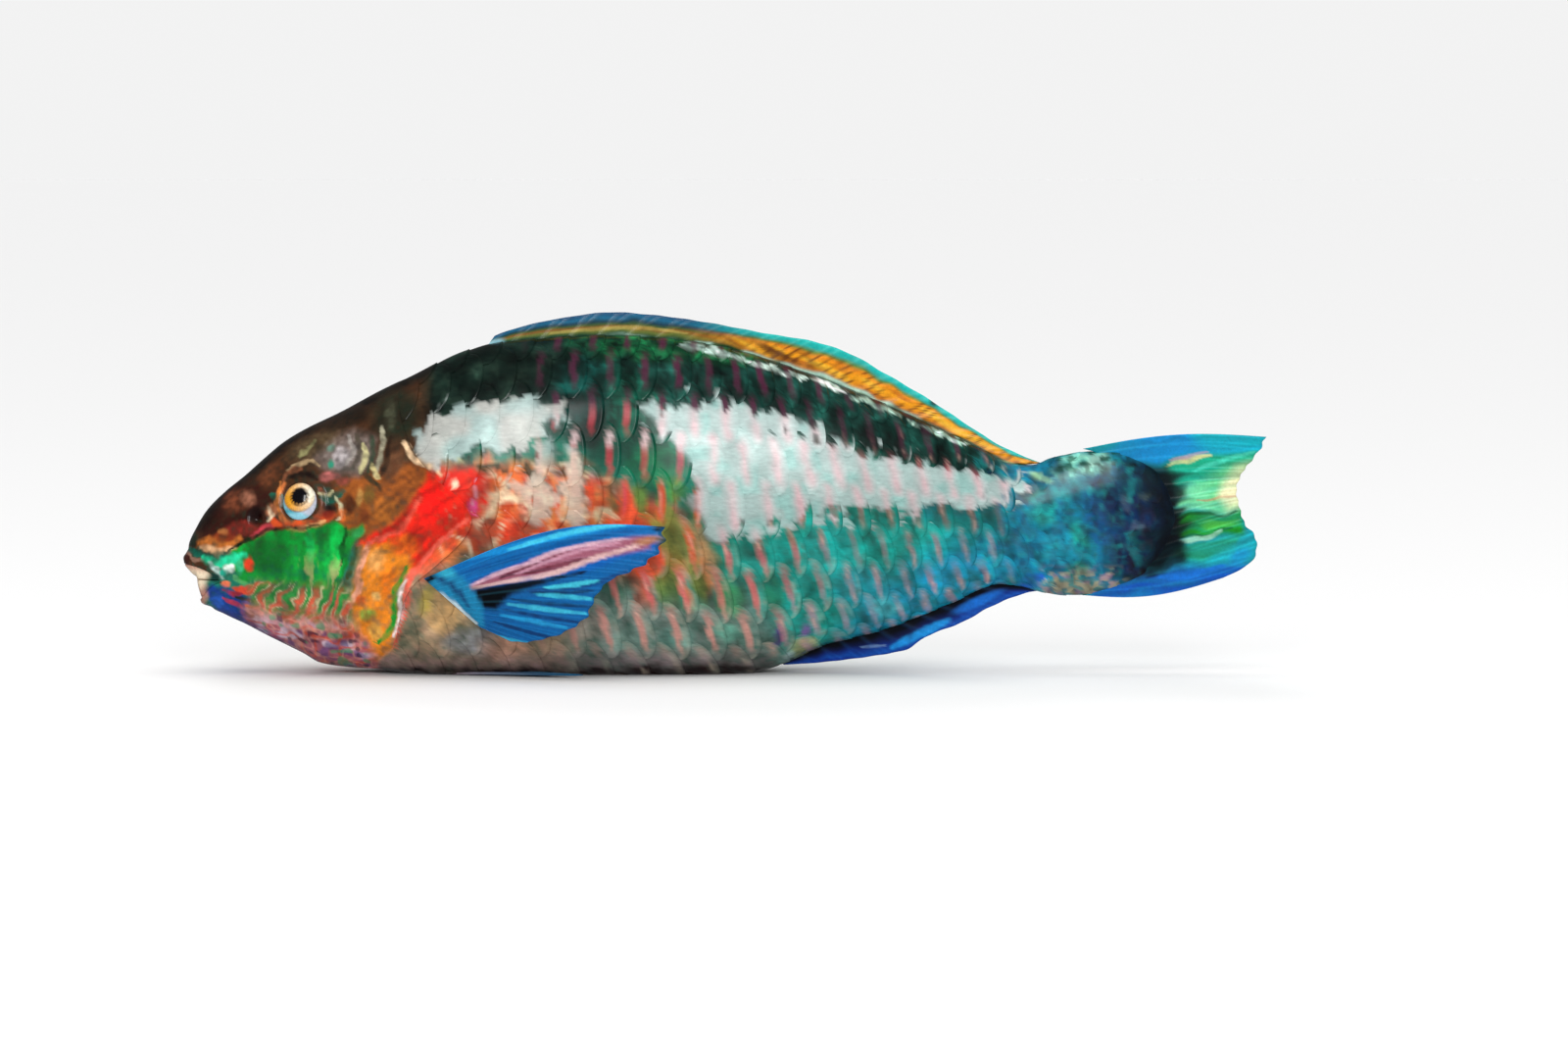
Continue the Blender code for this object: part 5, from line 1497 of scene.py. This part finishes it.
def make_eye(side):
    """The pupil sits a little above the eye's middle; the iris is gold in front, cream behind."""
    eye = eye_solid(f"eyeball_{SIDES[side]}", side)
    centre, along, up, _ = eye_frame(side)
    local = mesh_points(eye) - centre
    f, v = local @ along, local @ up
    pf, pv = f - 0.4, v - 1.5
    r = np.hypot(pf, pv)
    turn = np.arctan2(pv, pf)
    colours = plain(local, "c4c9d8")
    colours = blend(colours, "8fd0e2", ease(-0.6 * f - 0.75 * v + 0.3 * (r - 6), 1.0, 3.4))
    colours = blend(colours, "2a9cac", 0.85 * bump(v + 3.9, 0.8) * ease(-f, -0.6, 2.0))
    colours = blend(colours, "20120a", ease(v, 4.0, 6.4))
    gold = np.clip(0.5 + 0.5 * np.cos(turn - math.radians(200)), 0, 1)
    iris = blend(plain(local, "f7f2dc"), "eba020", gold ** 0.55)
    fibres = 1 + 0.12 * np.sin(turn * 37 + 5 * noise(local, 0.8, 20.0))
    iris = iris * (fibres * (0.75 + 0.25 * bump(r - 4.2, 1.4)))[:, None]
    reach = np.hypot(pf * np.where(pf < 0, 0.86, 1.0), pv)
    colours = mixed(colours, iris, 1 - ease(reach, 5.3, 5.8))
    rim = bump(reach - 5.6, 0.28) * np.clip(gold + 0.2, 0, 1)
    colours = blend(colours, "5a2c0c", 0.6 * rim)
    colours = blend(colours, "3c2410", 0.8 * bump(r - 3.35, 0.3))
    pupil = np.hypot(pf, pv * np.where(pv > 0, 0.9, 1.05))
    colours = blend(colours, "040308", 1 - ease(pupil, 2.75, 3.1))
    set_colours(eye, np.clip(colours, 0, 1))
    finish(eye, EYE_LOOK, "eye", f"eye_{SIDES[side]}")


def make_beak(name, node_name, low_z, high_z):
    """A plate of fused teeth between the lips: small crowns set in a pavement, worn at the bite."""
    stations = np.concatenate([np.arange(SNOUT_X, -194.0, 0.25),
                               np.arange(-194.0, MOUTH_CORNER[0] + 2.0, 0.5)])
    x, share = np.meshgrid(stations, (np.arange(120) + 0.5) / 120, indexing="ij")
    base, normal = on_body(x, share), body_normal(x, share)
    crowns = 0.05 * np.sin(base[..., 1] * 3.6) * np.sin(base[..., 2] * 3.4)
    suture = -0.22 * bump(base[..., 1], 0.35)
    worn = -0.35 * bump(base[..., 2] - BITE_Z, 0.6)
    plate = capped_tube(name, base + normal * (-0.2 + crowns + suture + worn)[..., None])
    bounds = [(-215, low_z), (-175, low_z), (-175, high_z), (-215, high_z)]
    boolean(plate, "INTERSECT", lip_wedge(GAP * 0.4), prism("bounds", bounds))
    smoothed(plate, 40)
    points = mesh_points(plate)
    up = np.abs(points[:, 2] - BITE_Z)
    colours = layered(up, (0.0, "c9a888"), (0.6, "f2e2c4"), (3.0, "ecd2b4"), (5.0, "cf9a88"),
                      (9.0, "b87a72"))
    colours = blend(colours, "c8876c", 0.35 * ease(noise(points, 1.6, 18.0), 0.45, 0.8))
    x, y = seen(points).T
    rear = ease(x + 0.5 * (y - 588.0), 205.0, 215.0)
    set_colours(plate, mixed(colours, body_colours(points), rear))
    finish(plate, BEAK_LOOK, "beak", node_name)


make_skin()
for flank in SIDES:
    make_scales(flank)
    make_pectoral(flank)
    make_pelvic(flank)
    make_eye(flank)
make_dorsal()
make_anal()
make_caudal()
make_beak("beak_plate_upper", "beak_upper", BITE_Z + GAP / 2, 60.0)
make_beak("beak_plate_lower", "beak_lower", 0.0, BITE_Z - GAP / 2)

# ---- Floor, light and camera


def aim(obj, back, distance, target):
    """Places obj that far from target, in the direction back, and turns it to the target."""
    obj.location = Vector(target) * MM + back * distance
    obj.rotation_euler = back.to_track_quat("Z", "Y").to_euler()


def stage_floor():
    reach = 30000
    corners = [(-reach, -reach, 0), (reach, -reach, 0), (reach, reach, 0), (-reach, reach, 0)]
    floor = put("floor", corners, [(0, 1, 2, 3)], False)
    floor.data.materials.append(material("pale_floor", (0.83, 0.83, 0.83), 0.8, 0.1)[0])
    floor.visible_glossy = False


def make_camera():
    """A long lens level with the flank, a little above it, over the middle of the photograph."""
    elevation, distance, sensor = math.radians(4.0), 2.0, 36.0
    target = ((PHOTO_WIDTH / 2 - PIXEL_X0) * PIXEL, 0.0, (PIXEL_Y0 - 534.5) * PIXEL)
    camera = linked("camera", bpy.data.cameras.new("camera"))
    camera.data.sensor_width = sensor
    camera.data.lens = sensor * (distance - 0.02) / (PHOTO_WIDTH * PIXEL * MM)
    aim(camera, Vector((0.0, -math.cos(elevation), math.sin(elevation))), distance, target)
    bpy.context.scene.camera = camera


def sun(name, energy, spread, turn=(0.0, 0.0, 0.0)):
    lamp = linked(name, bpy.data.lights.new(name, "SUN"))
    lamp.data.energy, lamp.data.angle = energy, math.radians(spread)
    lamp.rotation_euler = [math.radians(angle) for angle in turn]
    lamp.visible_glossy = False


def white_room():
    """The room lights the fish less than the camera sees of it, and shows dimmer still in
    reflections, so that the wet colours keep their depth."""
    world = bpy.data.worlds.new("studio")
    world.use_nodes = True
    tree = world.node_tree
    ray = node(tree, "LightPath")
    level = node(tree, "MapRange", {"Value": ray["Is Camera Ray"], "To Min": 0.3, "To Max": 0.892})
    dimmer = node(tree, "MapRange", {"Value": ray["Is Glossy Ray"], "To Min": 0.0, "To Max": -0.2})
    total = node(tree, "Math", {0: level["Result"], 1: dimmer["Result"]})
    background = tree.nodes["Background"].inputs
    background["Color"].default_value = (1.0, 1.0, 1.0, 1.0)
    tree.links.new(total["Value"], background["Strength"])
    bpy.context.scene.world = world


def softbox(name, azimuth, elevation, distance, width, height, power, glossy=True):
    """An area light; azimuth 0 is the camera's side, and it grows towards the tail."""
    a, e = math.radians(azimuth), math.radians(elevation)
    lamp = linked(name, bpy.data.lights.new(name, "AREA"))
    lamp.data.shape, lamp.data.size, lamp.data.size_y = "RECTANGLE", width, height
    lamp.data.energy = power
    lamp.visible_glossy = glossy
    back = Vector((math.sin(a) * math.cos(e), -math.cos(a) * math.cos(e), math.sin(e)))
    aim(lamp, back, distance, (0.0, 0.0, 60.0))


stage_floor()
make_camera()
sun("overhead", 2.2, 70)
sun("far_side", 0.7, 24, (-55, 0, 12))
white_room()
softbox("front_glare", -13.0, 30.0, 2.4, 0.30, 0.9, 6.5)
softbox("rear_glare", 11.0, 26.0, 2.4, 0.66, 1.1, 11.0)
softbox("front_fill", -4.0, 16.0, 2.6, 1.6, 1.0, 9.0, glossy=False)
bpy.context.scene.view_settings.view_transform = "Standard"
